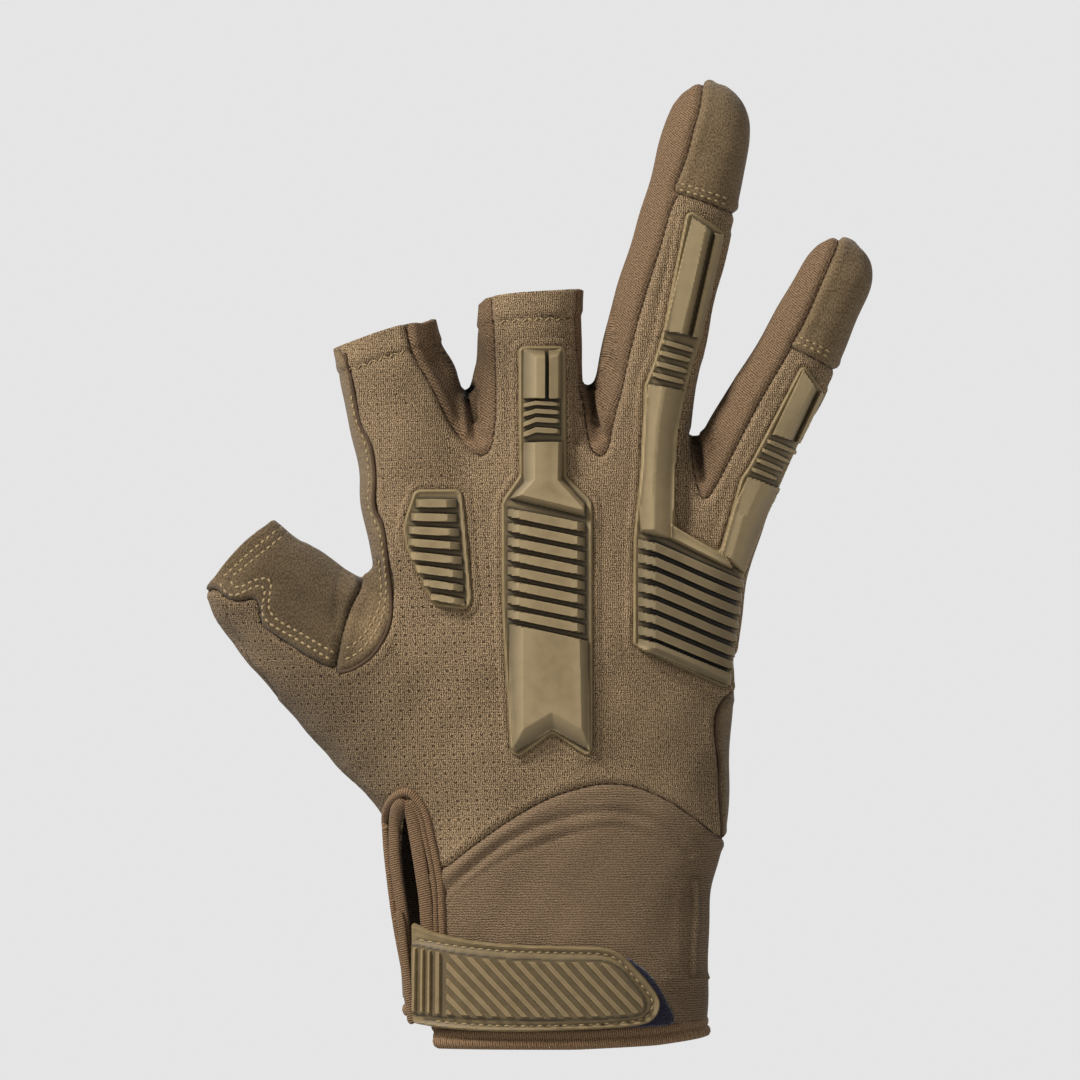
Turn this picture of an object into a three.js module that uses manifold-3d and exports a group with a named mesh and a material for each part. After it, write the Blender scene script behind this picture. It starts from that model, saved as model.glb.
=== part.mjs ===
// A right-hand tactical glove in its worn form: open thumb, index and middle finger, full ring and little finger.
// Millimetres. +Z runs from the wrist to the fingertips, the back of the hand faces -Y and the thumb points to -X.
// The origin is the middle of the wrist opening, level with the hem.
import * as THREE from "three";
import { mergeVertices } from "three/addons/utils/BufferGeometryUtils.js";
import Module from "manifold-3d";

const wasm = await Module();
wasm.setup();

// Driving dimensions
const WALL = 1.6; // knit and suede
const CUFF_WALL = 2.2; // padded knit of the cuff
const GAP = 0.3; // between neighbouring pieces
const TAPE_PROUD = 0.8; // how far a binding stands off the cloth
const PATCH_PROUD = 0.5; // how far a sewn-on suede piece stands off the knit
const FLANGE = 0.8; // thin edge of a moulded guard
const BLOCK = 3.2; // raised blocks and ribs of a moulded guard
const FINGER_SIDES = 12;
const THUMB_SIDES = 12;
const WEB_SIDES = 8;
const HAND_SIDES = 18;
const OVERRUN = 6; // how far a cutting solid runs past what it cuts
const SMALLEST_EDGE = 0.06; // booleans leave shorter edges, which are merged away
const FAR = 60; // past the glove, front and back
const SHARPEST_MITER = 0.3; // keeps the corners of a widened outline short
const FRONT_BLOCK = { width: 220, height: 300, below: 40, columns: 22, rows: 20 };

// The hand leans: fingers bend towards the palm above the knuckles, and the thumb lies in front of the palm.
const KNUCKLE_Z = 140;
const FINGER_BEND = 0.0011;
const THUMB_START_X = -30;
const THUMB_DROP = 9;
const THUMB_REACH = 50;

function midDepth(x, z) {
  const above = Math.max(0, z - KNUCKLE_Z);
  const aside = Math.max(0, THUMB_START_X - x) / THUMB_REACH;
  return FINGER_BEND * above * above + THUMB_DROP * aside ** 1.5;
}

// Columns: x and z of the middle, half width across, half depth front to back, and tip, 1 where the end is closed.
const LIMBS = {
  hand: {
    sides: HAND_SIDES,
    exponent: 2.5,
    rows: [
      [0.2, 0, 37.5, 21, 0],
      [-0.4, 12, 37.9, 21, 0],
      [-0.9, 24, 38.4, 21, 0],
      [-1.5, 37, 39.8, 20, 0],
      [-1.3, 47, 41.2, 19.5, 0],
      [-0.2, 57, 42.8, 19, 0],
      [-0.8, 72, 43.7, 18, 0],
      [-0.4, 87, 43.9, 17.5, 0],
      [0.2, 102, 43.8, 17, 0],
      [0.8, 112, 44, 16.5, 0],
      [0.2, 122, 44.8, 16, 0],
      [0.4, 132, 44.8, 15, 0],
      [-1.5, 142, 43, 13.5, 0],
      [-2, 150, 36, 11, 1],
    ],
  },
  thumb: {
    sides: THUMB_SIDES,
    exponent: 2.1,
    rows: [
      [-22, 50, 11, 12, 1],
      [-29, 66, 16, 16, 0],
      [-39, 82, 19.5, 17, 0],
      [-52.2, 95.5, 18.8, 16.5, 0],
      [-64.2, 106.7, 17.2, 14.5, 0],
      [-73.8, 115.7, 15, 12.2, 0],
      [-79, 123.5, 11.8, 10.4, 0],
      [-85.2, 129.5, 11.2, 10, 0],
    ],
  },
  index: {
    sides: FINGER_SIDES,
    exponent: 2.2,
    rows: [
      [-26, 100, 12, 10, 1],
      [-29.5, 121, 15.5, 13, 0],
      [-32.8, 137, 16.3, 13.5, 0],
      [-34.8, 147, 15.4, 13.2, 0],
      [-37.6, 157, 14.5, 12.8, 0],
      [-40.6, 167, 13.8, 12.3, 0],
      [-43, 179, 12.8, 11.6, 0],
      [-45.7, 188, 12.3, 11.2, 0],
    ],
  },
  middle: {
    sides: FINGER_SIDES,
    exponent: 2.2,
    rows: [
      [-6, 100, 12, 10, 1],
      [-6.4, 130, 15, 13.5, 0],
      [-6.4, 149, 14.8, 13.6, 0],
      [-6.3, 161, 13.8, 13, 0],
      [-6.2, 172, 13.4, 12.4, 0],
      [-6.1, 186, 13.2, 11.8, 0],
      [-6.1, 196, 13, 11.6, 0],
    ],
  },
  webThumb: {
    sides: WEB_SIDES,
    exponent: 2,
    rows: [
      [-34, 92, 11, 11, 1],
      [-40, 106, 9, 9, 0],
      [-43.6, 114.6, 6, 6, 0],
      [-45.6, 119.6, 3, 3.6, 1],
    ],
  },
  webIndex: {
    sides: WEB_SIDES,
    exponent: 2,
    rows: [
      [-20.5, 134, 9, 10, 1],
      [-21.6, 150, 7, 8.5, 0],
      [-22.1, 159.5, 4.4, 6.5, 0],
      [-22.3, 164, 2.4, 4.4, 1],
    ],
  },
  webRing: {
    sides: WEB_SIDES,
    exponent: 2,
    rows: [
      [7.4, 134, 9, 10, 1],
      [8.2, 152, 6, 8.5, 0],
      [8.6, 161.5, 3.6, 6.5, 0],
      [8.7, 166, 2.2, 4.4, 1],
    ],
  },
  ring: {
    sides: FINGER_SIDES,
    exponent: 2.2,
    rows: [
      [23, 100, 10, 9, 1],
      [21, 122, 12.5, 12.5, 0],
      [19.7, 142, 13.5, 13.3, 0],
      [21.2, 157, 13.2, 12.8, 0],
      [23.9, 172, 12.8, 12.2, 0],
      [27.3, 187, 12.4, 11.8, 0],
      [31.6, 202, 11.8, 11.1, 0],
      [34.8, 214, 11, 10.4, 0],
      [36.9, 224.5, 10.8, 9.9, 0],
      [37.6, 231, 9.7, 9.1, 0.2],
      [37.8, 236, 8, 7.6, 0.6],
      [37.6, 239.3, 5.4, 5.2, 0.9],
      [37.4, 241, 2.6, 2.6, 1],
    ],
  },
  pinky: {
    sides: FINGER_SIDES,
    exponent: 2.2,
    rows: [
      [35.5, 100, 9, 9, 1],
      [37, 119, 10.8, 12, 0],
      [40.7, 133, 11.6, 12, 0],
      [45.6, 145.5, 11.5, 11.4, 0],
      [51, 156.7, 11.1, 10.8, 0],
      [56.8, 166.7, 10.4, 10.2, 0],
      [61.9, 176.7, 9.6, 9.6, 0],
      [66.9, 186.5, 8.9, 9, 0],
      [69.6, 192.6, 8.2, 8.2, 0.2],
      [71, 197, 6.9, 6.8, 0.6],
      [71.6, 200, 4.9, 4.8, 0.9],
      [71.8, 201.8, 2.4, 2.4, 1],
    ],
  },
};

// Outlines in the front view, as x and z pairs.
const SEAMS = {
  // Everything past these lines is cut off: the open ends of three fingers.
  indexHem: [[-60, 173.2], [-55.6, 174.8], [-37.8, 180.5], [-27, 180.6], [-20, 196], [-60, 205]],
  middleHem: [[-24, 183], [-19.8, 185.3], [-16.4, 187.6], [5.6, 189], [14, 190], [14, 205], [-24, 205]],
  thumbHem: [[-94, 108], [-86, 115.6], [-71, 131.3], [-62, 141], [-80, 155], [-110, 130]],
  // The cuff lies under its arched seam.
  cuff: [
    [-60, 20], [-45, 48], [-30, 43], [-21, 50], [-9, 58.5], [3, 63.8], [14, 65.6], [25, 63], [35, 54.5],
    [41.5, 47.5], [60, 44], [60, -20], [-60, -20],
  ],
  fourchetteIndexMiddle: [
    [-37.8, 192], [-37.7, 180.5], [-36.4, 174.5], [-33, 170], [-28, 158], [-23.8, 152.4], [-19, 147.8],
    [-17.2, 148.4], [-15.6, 153.5], [-15.8, 168], [-15.5, 192],
  ],
  fourchetteMiddleRing: [
    [4.6, 192], [4.8, 176], [7, 160], [8.4, 151.5], [10.8, 147.6], [13.3, 149.6], [14, 156], [16.5, 165],
    [18.6, 175], [22, 190], [27, 202], [31, 214.5], [35.5, 230], [38, 244], [20, 244],
  ],
  fourchetteRingPinky: [
    [38, 175], [34, 160], [33.6, 148], [36, 137.6], [37.6, 137.4], [41.5, 144.5], [48.6, 158.5],
    [54, 167.5], [59, 175.5], [65, 189.6], [70.4, 200.6], [70, 206],
  ],
  capRing: [[31.8, 213.6], [44.6, 208.6], [52, 206], [52, 246], [38, 246], [34.5, 230]],
  capPinky: [[59, 174.6], [70, 168.8], [86, 160], [86, 206], [71, 206], [65, 189.6]],
  // Suede of the palm that comes round to the back: the index side, and the edge of the hand.
  indexWrap: [
    [-64, 171], [-54, 174.5], [-51.8, 169], [-50.4, 161.6], [-45.6, 149.8], [-44.6, 142.6], [-45.4, 135.6],
    [-42.8, 130], [-42, 123], [-40.8, 112.5], [-41.4, 104.8], [-44, 99], [-49, 95], [-55, 93.6], [-54.3, 98],
    [-52, 109], [-47.6, 117.4], [-55, 122], [-60, 140],
  ],
  edgeWrap: [[41.2, 48], [41.6, 60], [40.5, 72], [40.4, 80], [42, 86.5], [45, 89.6], [56, 90], [56, 46]],
  thumbPatch: [
    [-96, 106], [-86.8, 115.6], [-80.9, 110.7], [-74.3, 113], [-74.2, 105.4], [-55.2, 93.2], [-54.6, 98],
    [-52.3, 109], [-47.9, 117.4], [-54, 126], [-71, 141],
  ],
};

// The lower edge of the wrist, which rises at the thumb side, and the height of the tape along it.
const HEM = {
  low: [[-46, 10.4], [-38.8, 5.6], [-34, 1.8], [-30.6, 0], [5, 0], [25, 0.9], [42, 2.9]],
  height: 5,
};

// The wrist slit: its gap, and the tape round it.
const SLIT = {
  gap: [
    [-38, 61.8], [-35.6, 55], [-34.6, 44], [-33.4, 30], [-31.4, 12], [-30.4, -6], [-40, -6], [-37, 5],
    [-35.6, 12], [-36.5, 30], [-38.4, 44], [-38.9, 55],
  ],
  tape: [
    [-38.4, 64.4], [-34, 62.5], [-31, 55], [-28.8, 44], [-28.6, 30], [-29, 5.4], [-38.2, 10.6],
    [-50, 19], [-50, 58], [-42.6, 62.5],
  ],
  tapeBack: -6, // the tape on the thumb side ends at this depth
};

const STRAP = {
  outline: [
    [-35.2, 30.6], [-29, 28], [-9, 26], [7, 25.5], [13.5, 23.8], [19, 18], [24.8, 11.8], [25.5, 9.2],
    [23.5, 7.2], [11, 5.4], [-4, 5], [-19, 5.6], [-35.2, 7.2],
  ],
  patch: [[-26, 24.6], [6, 24], [15.5, 23.4], [21, 18], [29, 7.6], [22, 6.4], [-26, 6.4]],
  lift: 1.2, // clears the tape and holds the patch
  thickness: 1.5,
  rib: 0.7,
};
const STRAP_RIBS = { count: 12, first: -24, pitch: 3.6, width: 1.2, lean: 8, low: 9.4, high: 22.2 };

const GUARD_INDEX = {
  flange: [
    [-35.4, 139.2], [-24, 139.2], [-21, 111], [-22.4, 109.8], [-30.4, 110.4], [-35.8, 120], [-37.9, 130],
    [-37.2, 135.6],
  ],
  // Columns: z of the middle at the left, left end, right end.
  ribs: [
    [136, -35.2, -25], [132.5, -36.3, -24.5], [129.2, -37.3, -24], [125.8, -37.1, -23.6],
    [122.4, -36.2, -23.2], [119.1, -34.6, -22.9], [115.7, -32.3, -22.6], [112.4, -30.4, -22.4],
  ],
  width: 2.5,
  slope: -0.07,
};

const GUARD_MIDDLE = {
  flange: [
    [-10, 175.8], [2.8, 176.2], [3.2, 155.8], [3.8, 142.2], [8.8, 138], [9.5, 101.8], [9.5, 73.8],
    [7.8, 72.5], [-1.3, 78.5], [-9, 72.8], [-11.2, 73.8], [-12.5, 101.8], [-13.2, 135.8], [-9.2, 142],
    [-10, 155.8],
  ],
  blocks: [
    [[-8.2, 174.2], [-3.1, 174.2], [-3.1, 162.1], [-8.2, 162.1]],
    [[-2.2, 174.2], [1.1, 174.2], [1.1, 162.1], [-2.2, 162.1]],
    [[-7.8, 151.2], [0.3, 151.2], [0.5, 141], [6.4, 136.8], [6.4, 133.6], [-11.6, 136.6], [-7.2, 140.8]],
    [[-11.6, 106], [6.8, 102.3], [7, 74], [-1.3, 80.6], [-10, 74]],
  ],
  // Columns: z of the middle at the left, left end, right end, width.
  bars: [[160.4, -8, 0.2, 1.4], [158.4, -8, 0.2, 1.4], [156.4, -8, 0.2, 1.4], [153.8, -8, 0.2, 2.4]],
  ribs: { count: 8, left: -12, right: 7, top: 133.8, pitch: 3.52, width: 2.3, slope: -0.19 },
};

const GUARD_OUTER = {
  flange: [
    [32.2, 209], [35.8, 207.6], [42, 203.8], [36, 177], [30.2, 156], [30.2, 132], [40, 126.4],
    [45.4, 143.6], [53, 158], [61.5, 169.6], [66.5, 165.6], [60, 150], [53.4, 136], [47.4, 118],
    [44.6, 99], [43.6, 88.8], [19.2, 99], [18.6, 131], [18.8, 144], [21.2, 161], [25, 177.5],
  ],
  blocks: [
    [[34, 207.3], [38.5, 204.4], [32.2, 177.9], [27, 178.8]],
    [[39.7, 203.3], [41.1, 203.5], [35.1, 176.9], [33.3, 177.4]],
    [
      [23.2, 165.8], [31.3, 164.5], [29.7, 155.7], [28.4, 145.4], [28.2, 138], [28.9, 128.8],
      [20.6, 130.3], [20.3, 139.5], [20.5, 149.8], [21.6, 158.6],
    ],
    [[62, 168.7], [65.1, 165.2], [58.3, 151.9], [53.9, 152.6]],
    [[66.2, 164.6], [67.4, 163], [60.4, 149.6], [59.3, 151]],
    [[47.6, 142.9], [51.7, 141], [48, 130], [46, 119], [41, 121.6], [45, 135.9]],
  ],
  // Columns: left x and z, right x and z, width.
  bars: [
    [26.2, 176.4, 34.4, 174.2, 1.5], [25.4, 174, 33.8, 171.6, 1.5], [24.8, 171.4, 33.2, 169, 1.5],
    [24.2, 168.8, 32.4, 166.4, 1.5], [52.9, 151.2, 59.4, 148.8, 1.6], [51.4, 148.6, 58.2, 145.8, 1.6],
    [49.9, 146, 56, 143, 1.6],
  ],
  ribs: { count: 8, left: 19.9, bend: 23.8, top: 127.6, pitch: 3.56, width: 2.5, flat: -0.1, slope: -0.46 },
  // The right end of the top rib, and how much further left each next one ends.
  ribEnds: { right: 46.2, step: 0.44 },
};

// Geometry helpers

function toSolid(geometry) {
  const bare = geometry.clone();
  bare.deleteAttribute("normal");
  bare.deleteAttribute("uv");
  const merged = mergeVertices(bare, 1e-4);
  return new wasm.Manifold(
    new wasm.Mesh({
      numProp: 3,
      vertProperties: merged.attributes.position.array,
      triVerts: new Uint32Array(merged.index.array),
    }),
  );
}

function toGeometry(solid) {
  const mesh = solid.getMesh();
  const geometry = new THREE.BufferGeometry();
  geometry.setAttribute("position", new THREE.BufferAttribute(mesh.vertProperties, 3));
  geometry.setIndex(new THREE.BufferAttribute(mesh.triVerts, 1));
  return geometry;
}

// The largest body of a solid, without the slivers and short edges that cuts leave behind.
function largest(solid) {
  const bodies = solid.simplify(SMALLEST_EDGE).decompose();
  return bodies.reduce((best, next) => (next.volume() > best.volume() ? next : best));
}

function union(solids) {
  return solids.reduce((whole, next) => whole.add(next));
}

// A closed tube through the limb's rows, grown by a number of millimetres all round.
function loft({ rows, sides, exponent }, grow) {
  const centres = rows.map(([x, z, , , tip], i) => {
    const centre = new THREE.Vector2(x, z);
    const neighbour = rows[i === 0 ? 1 : i - 1];
    const outwards = centre.clone().sub(new THREE.Vector2(neighbour[0], neighbour[1])).normalize();
    return centre.addScaledVector(outwards, tip * grow);
  });
  const positions = [];
  rows.forEach(([, , width, depth], i) => {
    const before = centres[Math.max(0, i - 1)];
    const after = centres[Math.min(rows.length - 1, i + 1)];
    const along = after.clone().sub(before).normalize();
    const across = new THREE.Vector2(along.y, -along.x);
    const middle = midDepth(rows[i][0], rows[i][1]);
    for (let k = 0; k < sides; k += 1) {
      const angle = (2 * Math.PI * k) / sides;
      const round = (value) => Math.sign(value) * Math.abs(value) ** (2 / exponent);
      const u = round(Math.cos(angle)) * (width + grow);
      const v = round(Math.sin(angle)) * (depth + grow);
      positions.push(centres[i].x + across.x * u, middle + v, centres[i].y + across.y * u);
    }
  });
  const triangles = [];
  for (let i = 0; i + 1 < rows.length; i += 1) {
    for (let k = 0; k < sides; k += 1) {
      const a = i * sides + k;
      const b = i * sides + ((k + 1) % sides);
      triangles.push(a, a + sides, b, b, a + sides, b + sides);
    }
  }
  for (let k = 1; k + 1 < sides; k += 1) {
    const top = (rows.length - 1) * sides;
    triangles.push(0, k, k + 1, top, top + k + 1, top + k);
  }
  const geometry = new THREE.BufferGeometry();
  geometry.setAttribute("position", new THREE.Float32BufferAttribute(positions, 3));
  geometry.setIndex(triangles);
  const solid = toSolid(geometry);
  if (solid.volume() > 0) return solid;
  geometry.setIndex(triangles.toReversed());
  return toSolid(geometry);
}

const grown = new Map();

// The whole glove as a solid, grown by a number of millimetres. Negative values give its hollow.
function body(grow) {
  if (!grown.has(grow)) {
    grown.set(grow, union(Object.values(LIMBS).map((limb) => loft(limb, grow))));
  }
  return grown.get(grow);
}

function offsetOutline(points, distance) {
  const turn = THREE.ShapeUtils.area(points.map(([x, z]) => new THREE.Vector2(x, z))) > 0 ? 1 : -1;
  return points.map((point, i) => {
    const here = new THREE.Vector2(...point);
    const before = new THREE.Vector2(...points[(i + points.length - 1) % points.length]);
    const after = new THREE.Vector2(...points[(i + 1) % points.length]);
    const inward = here.clone().sub(before).normalize();
    const outward = after.clone().sub(here).normalize();
    const normalIn = new THREE.Vector2(inward.y, -inward.x).multiplyScalar(turn);
    const normalOut = new THREE.Vector2(outward.y, -outward.x).multiplyScalar(turn);
    const miter = normalIn.clone().add(normalOut);
    const scale = distance / Math.max(SHARPEST_MITER, miter.lengthSq() / 2);
    return [here.x + miter.x * scale, here.y + miter.y * scale];
  });
}

// The outline in the front view, run through from one depth to another.
function prism(points, nearest = -FAR, furthest = FAR) {
  const shape = new THREE.Shape(points.map(([x, z]) => new THREE.Vector2(x, z)));
  const geometry = new THREE.ExtrudeGeometry(shape, { depth: furthest - nearest, bevelEnabled: false });
  geometry.rotateX(Math.PI / 2);
  geometry.translate(0, furthest, 0);
  return toSolid(geometry);
}

// A band along the lower edge of the wrist, from one height above it to another.
function hemBand(from, to) {
  const raised = (height) => HEM.low.map(([x, z]) => [x, z + height]);
  return prism([...raised(from), ...raised(to).toReversed()]);
}

// All that lies in front of the middle of the hand, moved back by a number of millimetres.
function frontHalf(back) {
  const { width, height, below, columns, rows } = FRONT_BLOCK;
  const geometry = new THREE.BoxGeometry(width, FAR, height, columns, 1, rows);
  geometry.translate(0, -FAR / 2, height / 2 - below);
  const position = geometry.attributes.position;
  for (let i = 0; i < position.count; i += 1) {
    if (position.getY(i) > -FAR / 2) {
      position.setY(i, midDepth(position.getX(i), position.getZ(i)) + back);
    }
  }
  return toSolid(geometry);
}

function bar(left, right, width) {
  const [x0, z0] = left;
  const [x1, z1] = right;
  return [[x0, z0 + width / 2], [x1, z1 + width / 2], [x1, z1 - width / 2], [x0, z0 - width / 2]];
}

// The main cloth, in one shell, with its open ends and its slit cut out.
const openEnds = union([SEAMS.indexHem, SEAMS.middleHem, SEAMS.thumbHem].map((outline) => prism(outline)));
function hollow(wall) {
  const mouth = LIMBS.hand.rows[0];
  const below = { ...LIMBS.hand, rows: [[mouth[0], -OVERRUN, mouth[2], mouth[3], 0], mouth, LIMBS.hand.rows[1]] };
  return body(-wall).add(loft(below, -wall));
}
const shell = body(0).subtract(hollow(WALL)).subtract(openEnds);
const cuffShell = body(0).subtract(hollow(CUFF_WALL));
const belowCuff = hemBand(-FAR, HEM.height + GAP);
const front = frontHalf(0);
const frontAndGap = frontHalf(GAP);
const slitTape = prism(SLIT.tape, -FAR, SLIT.tapeBack);
const slitTapeAndGap = prism(offsetOutline(SLIT.tape, GAP), -FAR, SLIT.tapeBack + GAP);
const slitGap = prism(SLIT.gap, -FAR, 0);
const cuffAndGap = prism(offsetOutline(SEAMS.cuff, GAP));
const hand = shell.subtract(cuffAndGap).subtract(slitTapeAndGap);

function cutFrom(cloth, outlines) {
  return outlines.reduce((rest, outline) => rest.subtract(prism(offsetOutline(outline, GAP))), cloth);
}

const FOURCHETTES = [SEAMS.fourchetteIndexMiddle, SEAMS.fourchetteMiddleRing, SEAMS.fourchetteRingPinky];
const PROUD_PIECES = [SEAMS.capRing, SEAMS.capPinky, SEAMS.thumbPatch];
const WRAPS = [SEAMS.indexWrap, SEAMS.edgeWrap];

function buildFourchette(outline) {
  return largest(hand.intersect(prism(outline)));
}

function buildBackPanel() {
  return largest(cutFrom(hand.intersect(front), [...FOURCHETTES, ...PROUD_PIECES, ...WRAPS]));
}

function buildPalmPanel() {
  const behind = hand.subtract(frontAndGap);
  const wraps = WRAPS.map((outline) => hand.intersect(frontAndGap).intersect(prism(outline)));
  const sides = cutFrom(union(wraps), [SEAMS.thumbPatch]);
  return largest(cutFrom(behind.add(sides), FOURCHETTES));
}

// A suede piece sewn on the back: it stands a little proud of the knit beside it.
function buildProudPiece(outline) {
  const thick = body(PATCH_PROUD).subtract(hollow(WALL)).subtract(openEnds);
  return largest(cutFrom(thick.intersect(front).intersect(prism(outline)), FOURCHETTES));
}

function buildCuff() {
  const ring = cuffShell.intersect(prism(SEAMS.cuff)).subtract(belowCuff);
  return largest(ring.subtract(slitTapeAndGap));
}

function buildHemBinding() {
  const tape = body(TAPE_PROUD).subtract(hollow(CUFF_WALL + TAPE_PROUD));
  return largest(tape.intersect(hemBand(0, HEM.height)).subtract(slitGap));
}

function buildSlitBinding() {
  const tape = body(TAPE_PROUD).subtract(hollow(CUFF_WALL + TAPE_PROUD));
  return largest(tape.intersect(slitTape).subtract(slitGap).subtract(belowCuff));
}

// A layer of the rubber and closure pieces, which follow the hand between two heights.
function layer(outline, low, high) {
  return body(high).subtract(body(low)).intersect(prism(outline)).intersect(front);
}

function buildLoopPatch() {
  return largest(layer(STRAP.patch, GAP, STRAP.lift - GAP));
}

function buildStrap() {
  const base = STRAP.lift + STRAP.thickness;
  const sheet = layer(STRAP.outline, STRAP.lift, base);
  const ribs = Array.from({ length: STRAP_RIBS.count }, (_, i) => {
    const x = STRAP_RIBS.first + i * STRAP_RIBS.pitch;
    const { width, lean, low, high } = STRAP_RIBS;
    return [[x, high], [x + width, high], [x + width + lean, low], [x + lean, low]];
  });
  return largest(union([sheet, ...ribs.map((rib) => layer(rib, STRAP.lift, base + STRAP.rib))]));
}

function buildGuard(flange, raised) {
  const low = GAP;
  const blocks = raised.map((outline) => prism(outline));
  const thick = body(GAP + BLOCK).subtract(body(low)).intersect(front);
  return largest(layer(flange, low, GAP + FLANGE).add(thick.intersect(union(blocks))));
}

function guardIndexOutlines() {
  const { ribs, width, slope } = GUARD_INDEX;
  return ribs.map(([z, left, right]) => bar([left, z], [right, z + slope * (right - left)], width));
}

function guardMiddleOutlines() {
  const { blocks, bars, ribs } = GUARD_MIDDLE;
  const small = bars.map(([z, left, right, width]) => bar([left, z], [right, z], width));
  const long = Array.from({ length: ribs.count }, (_, i) => {
    const z = ribs.top - i * ribs.pitch;
    return bar([ribs.left, z], [ribs.right, z + ribs.slope * (ribs.right - ribs.left)], ribs.width);
  });
  return [...blocks, ...small, ...long];
}

function guardOuterOutlines() {
  const { blocks, bars, ribs, ribEnds } = GUARD_OUTER;
  const small = bars.map(([x0, z0, x1, z1, width]) => bar([x0, z0], [x1, z1], width));
  const long = Array.from({ length: ribs.count }, (_, i) => {
    const z = ribs.top - i * ribs.pitch;
    const atBend = z + ribs.flat * (ribs.bend - ribs.left);
    const right = ribEnds.right - i * ribEnds.step;
    const atRight = atBend + ribs.slope * (right - ribs.bend);
    const half = ribs.width / 2;
    return [
      [ribs.left, z + half], [ribs.bend, atBend + half], [right, atRight + half],
      [right, atRight - half], [ribs.bend, atBend - half], [ribs.left, z - half],
    ];
  });
  return [...blocks, ...small, ...long];
}

// Materials
const COLOURS = { knit: 0x7d6a52, suede: 0x75644a, stretch: 0x6f5a48, cuff: 0x75634f, tape: 0x7a6350 };
const cloth = (color) => new THREE.MeshStandardMaterial({ color, roughness: 0.9, metalness: 0 });
const knit = cloth(COLOURS.knit);
const suede = cloth(COLOURS.suede);
const stretch = cloth(COLOURS.stretch);
const cuffKnit = cloth(COLOURS.cuff);
const tape = cloth(COLOURS.tape);
const loop = cloth(0x2c2c38);
const rubber = new THREE.MeshStandardMaterial({ color: 0x86744e, roughness: 0.55, metalness: 0 });

const glove = new THREE.Group();

function place(name, solid, material) {
  const mesh = new THREE.Mesh(toGeometry(solid), material);
  mesh.name = name;
  glove.add(mesh);
}

place("back_panel", buildBackPanel(), knit);
place("palm_panel", buildPalmPanel(), suede);
place("fourchette_index_middle", buildFourchette(SEAMS.fourchetteIndexMiddle), stretch);
place("fourchette_middle_ring", buildFourchette(SEAMS.fourchetteMiddleRing), stretch);
place("fourchette_ring_pinky", buildFourchette(SEAMS.fourchetteRingPinky), stretch);
place("thumb_patch", buildProudPiece(SEAMS.thumbPatch), suede);
place("fingertip_cap_ring", buildProudPiece(SEAMS.capRing), suede);
place("fingertip_cap_pinky", buildProudPiece(SEAMS.capPinky), suede);
place("cuff", buildCuff(), cuffKnit);
place("hem_binding", buildHemBinding(), tape);
place("slit_binding", buildSlitBinding(), tape);
place("loop_patch", buildLoopPatch(), loop);
place("closure_strap", buildStrap(), rubber);
place("guard_index", buildGuard(GUARD_INDEX.flange, guardIndexOutlines()), rubber);
place("guard_middle", buildGuard(GUARD_MIDDLE.flange, guardMiddleOutlines()), rubber);
place("guard_ring_pinky", buildGuard(GUARD_OUTER.flange, guardOuterOutlines()), rubber);

export default glove;
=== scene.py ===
"""Looks of a right-hand tactical glove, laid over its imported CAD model.

Lengths in the tables are millimetres in the row frame: +Z to the fingertips, the back of the hand faces -Y,
the thumb points to -X. Tables named *_PX hold points of the photograph, which from_photo turns into x and z
in millimetres.
"""

import math

import bpy
import numpy as np
import openvdb
from mathutils.bvhtree import BVHTree
from mathutils.kdtree import KDTree
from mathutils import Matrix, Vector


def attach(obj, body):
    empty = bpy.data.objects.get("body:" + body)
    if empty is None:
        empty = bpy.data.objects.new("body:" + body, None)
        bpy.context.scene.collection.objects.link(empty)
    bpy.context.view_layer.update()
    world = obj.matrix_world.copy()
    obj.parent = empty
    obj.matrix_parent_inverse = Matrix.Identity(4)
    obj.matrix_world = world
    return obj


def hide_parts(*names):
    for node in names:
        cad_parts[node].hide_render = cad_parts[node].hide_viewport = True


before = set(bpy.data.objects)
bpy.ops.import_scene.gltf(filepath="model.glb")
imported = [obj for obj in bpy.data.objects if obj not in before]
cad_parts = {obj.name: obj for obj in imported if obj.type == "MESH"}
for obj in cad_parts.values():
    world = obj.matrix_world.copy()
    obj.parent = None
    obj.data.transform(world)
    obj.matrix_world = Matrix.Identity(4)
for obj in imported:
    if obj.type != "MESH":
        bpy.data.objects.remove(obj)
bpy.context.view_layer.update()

MM = 0.001
PX = 0.25  # millimetres a pixel of the photograph
PHOTO_ORIGIN = (556, 1047)  # where the wrist's middle lies in it
PHOTO_MIDDLE = (540, 540)
PHOTO_SIDE = 1080
VOXEL = 0.8
BLEND = 3.0  # width over which two limbs run into each other
SNAP = 0.05  # a vertex this near a cut is moved onto it
CLOTH = 1.5  # thickness of a panel
FAR = 8.0  # distances to outlines and seams aren't measured past this
TINY = 1e-12
BACK = np.array([0.0, -1.0, 0.0])  # the way the back of the hand faces


def from_photo(points):
    return [((x - PHOTO_ORIGIN[0]) * PX, (PHOTO_ORIGIN[1] - y) * PX) for x, y in points]


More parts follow.
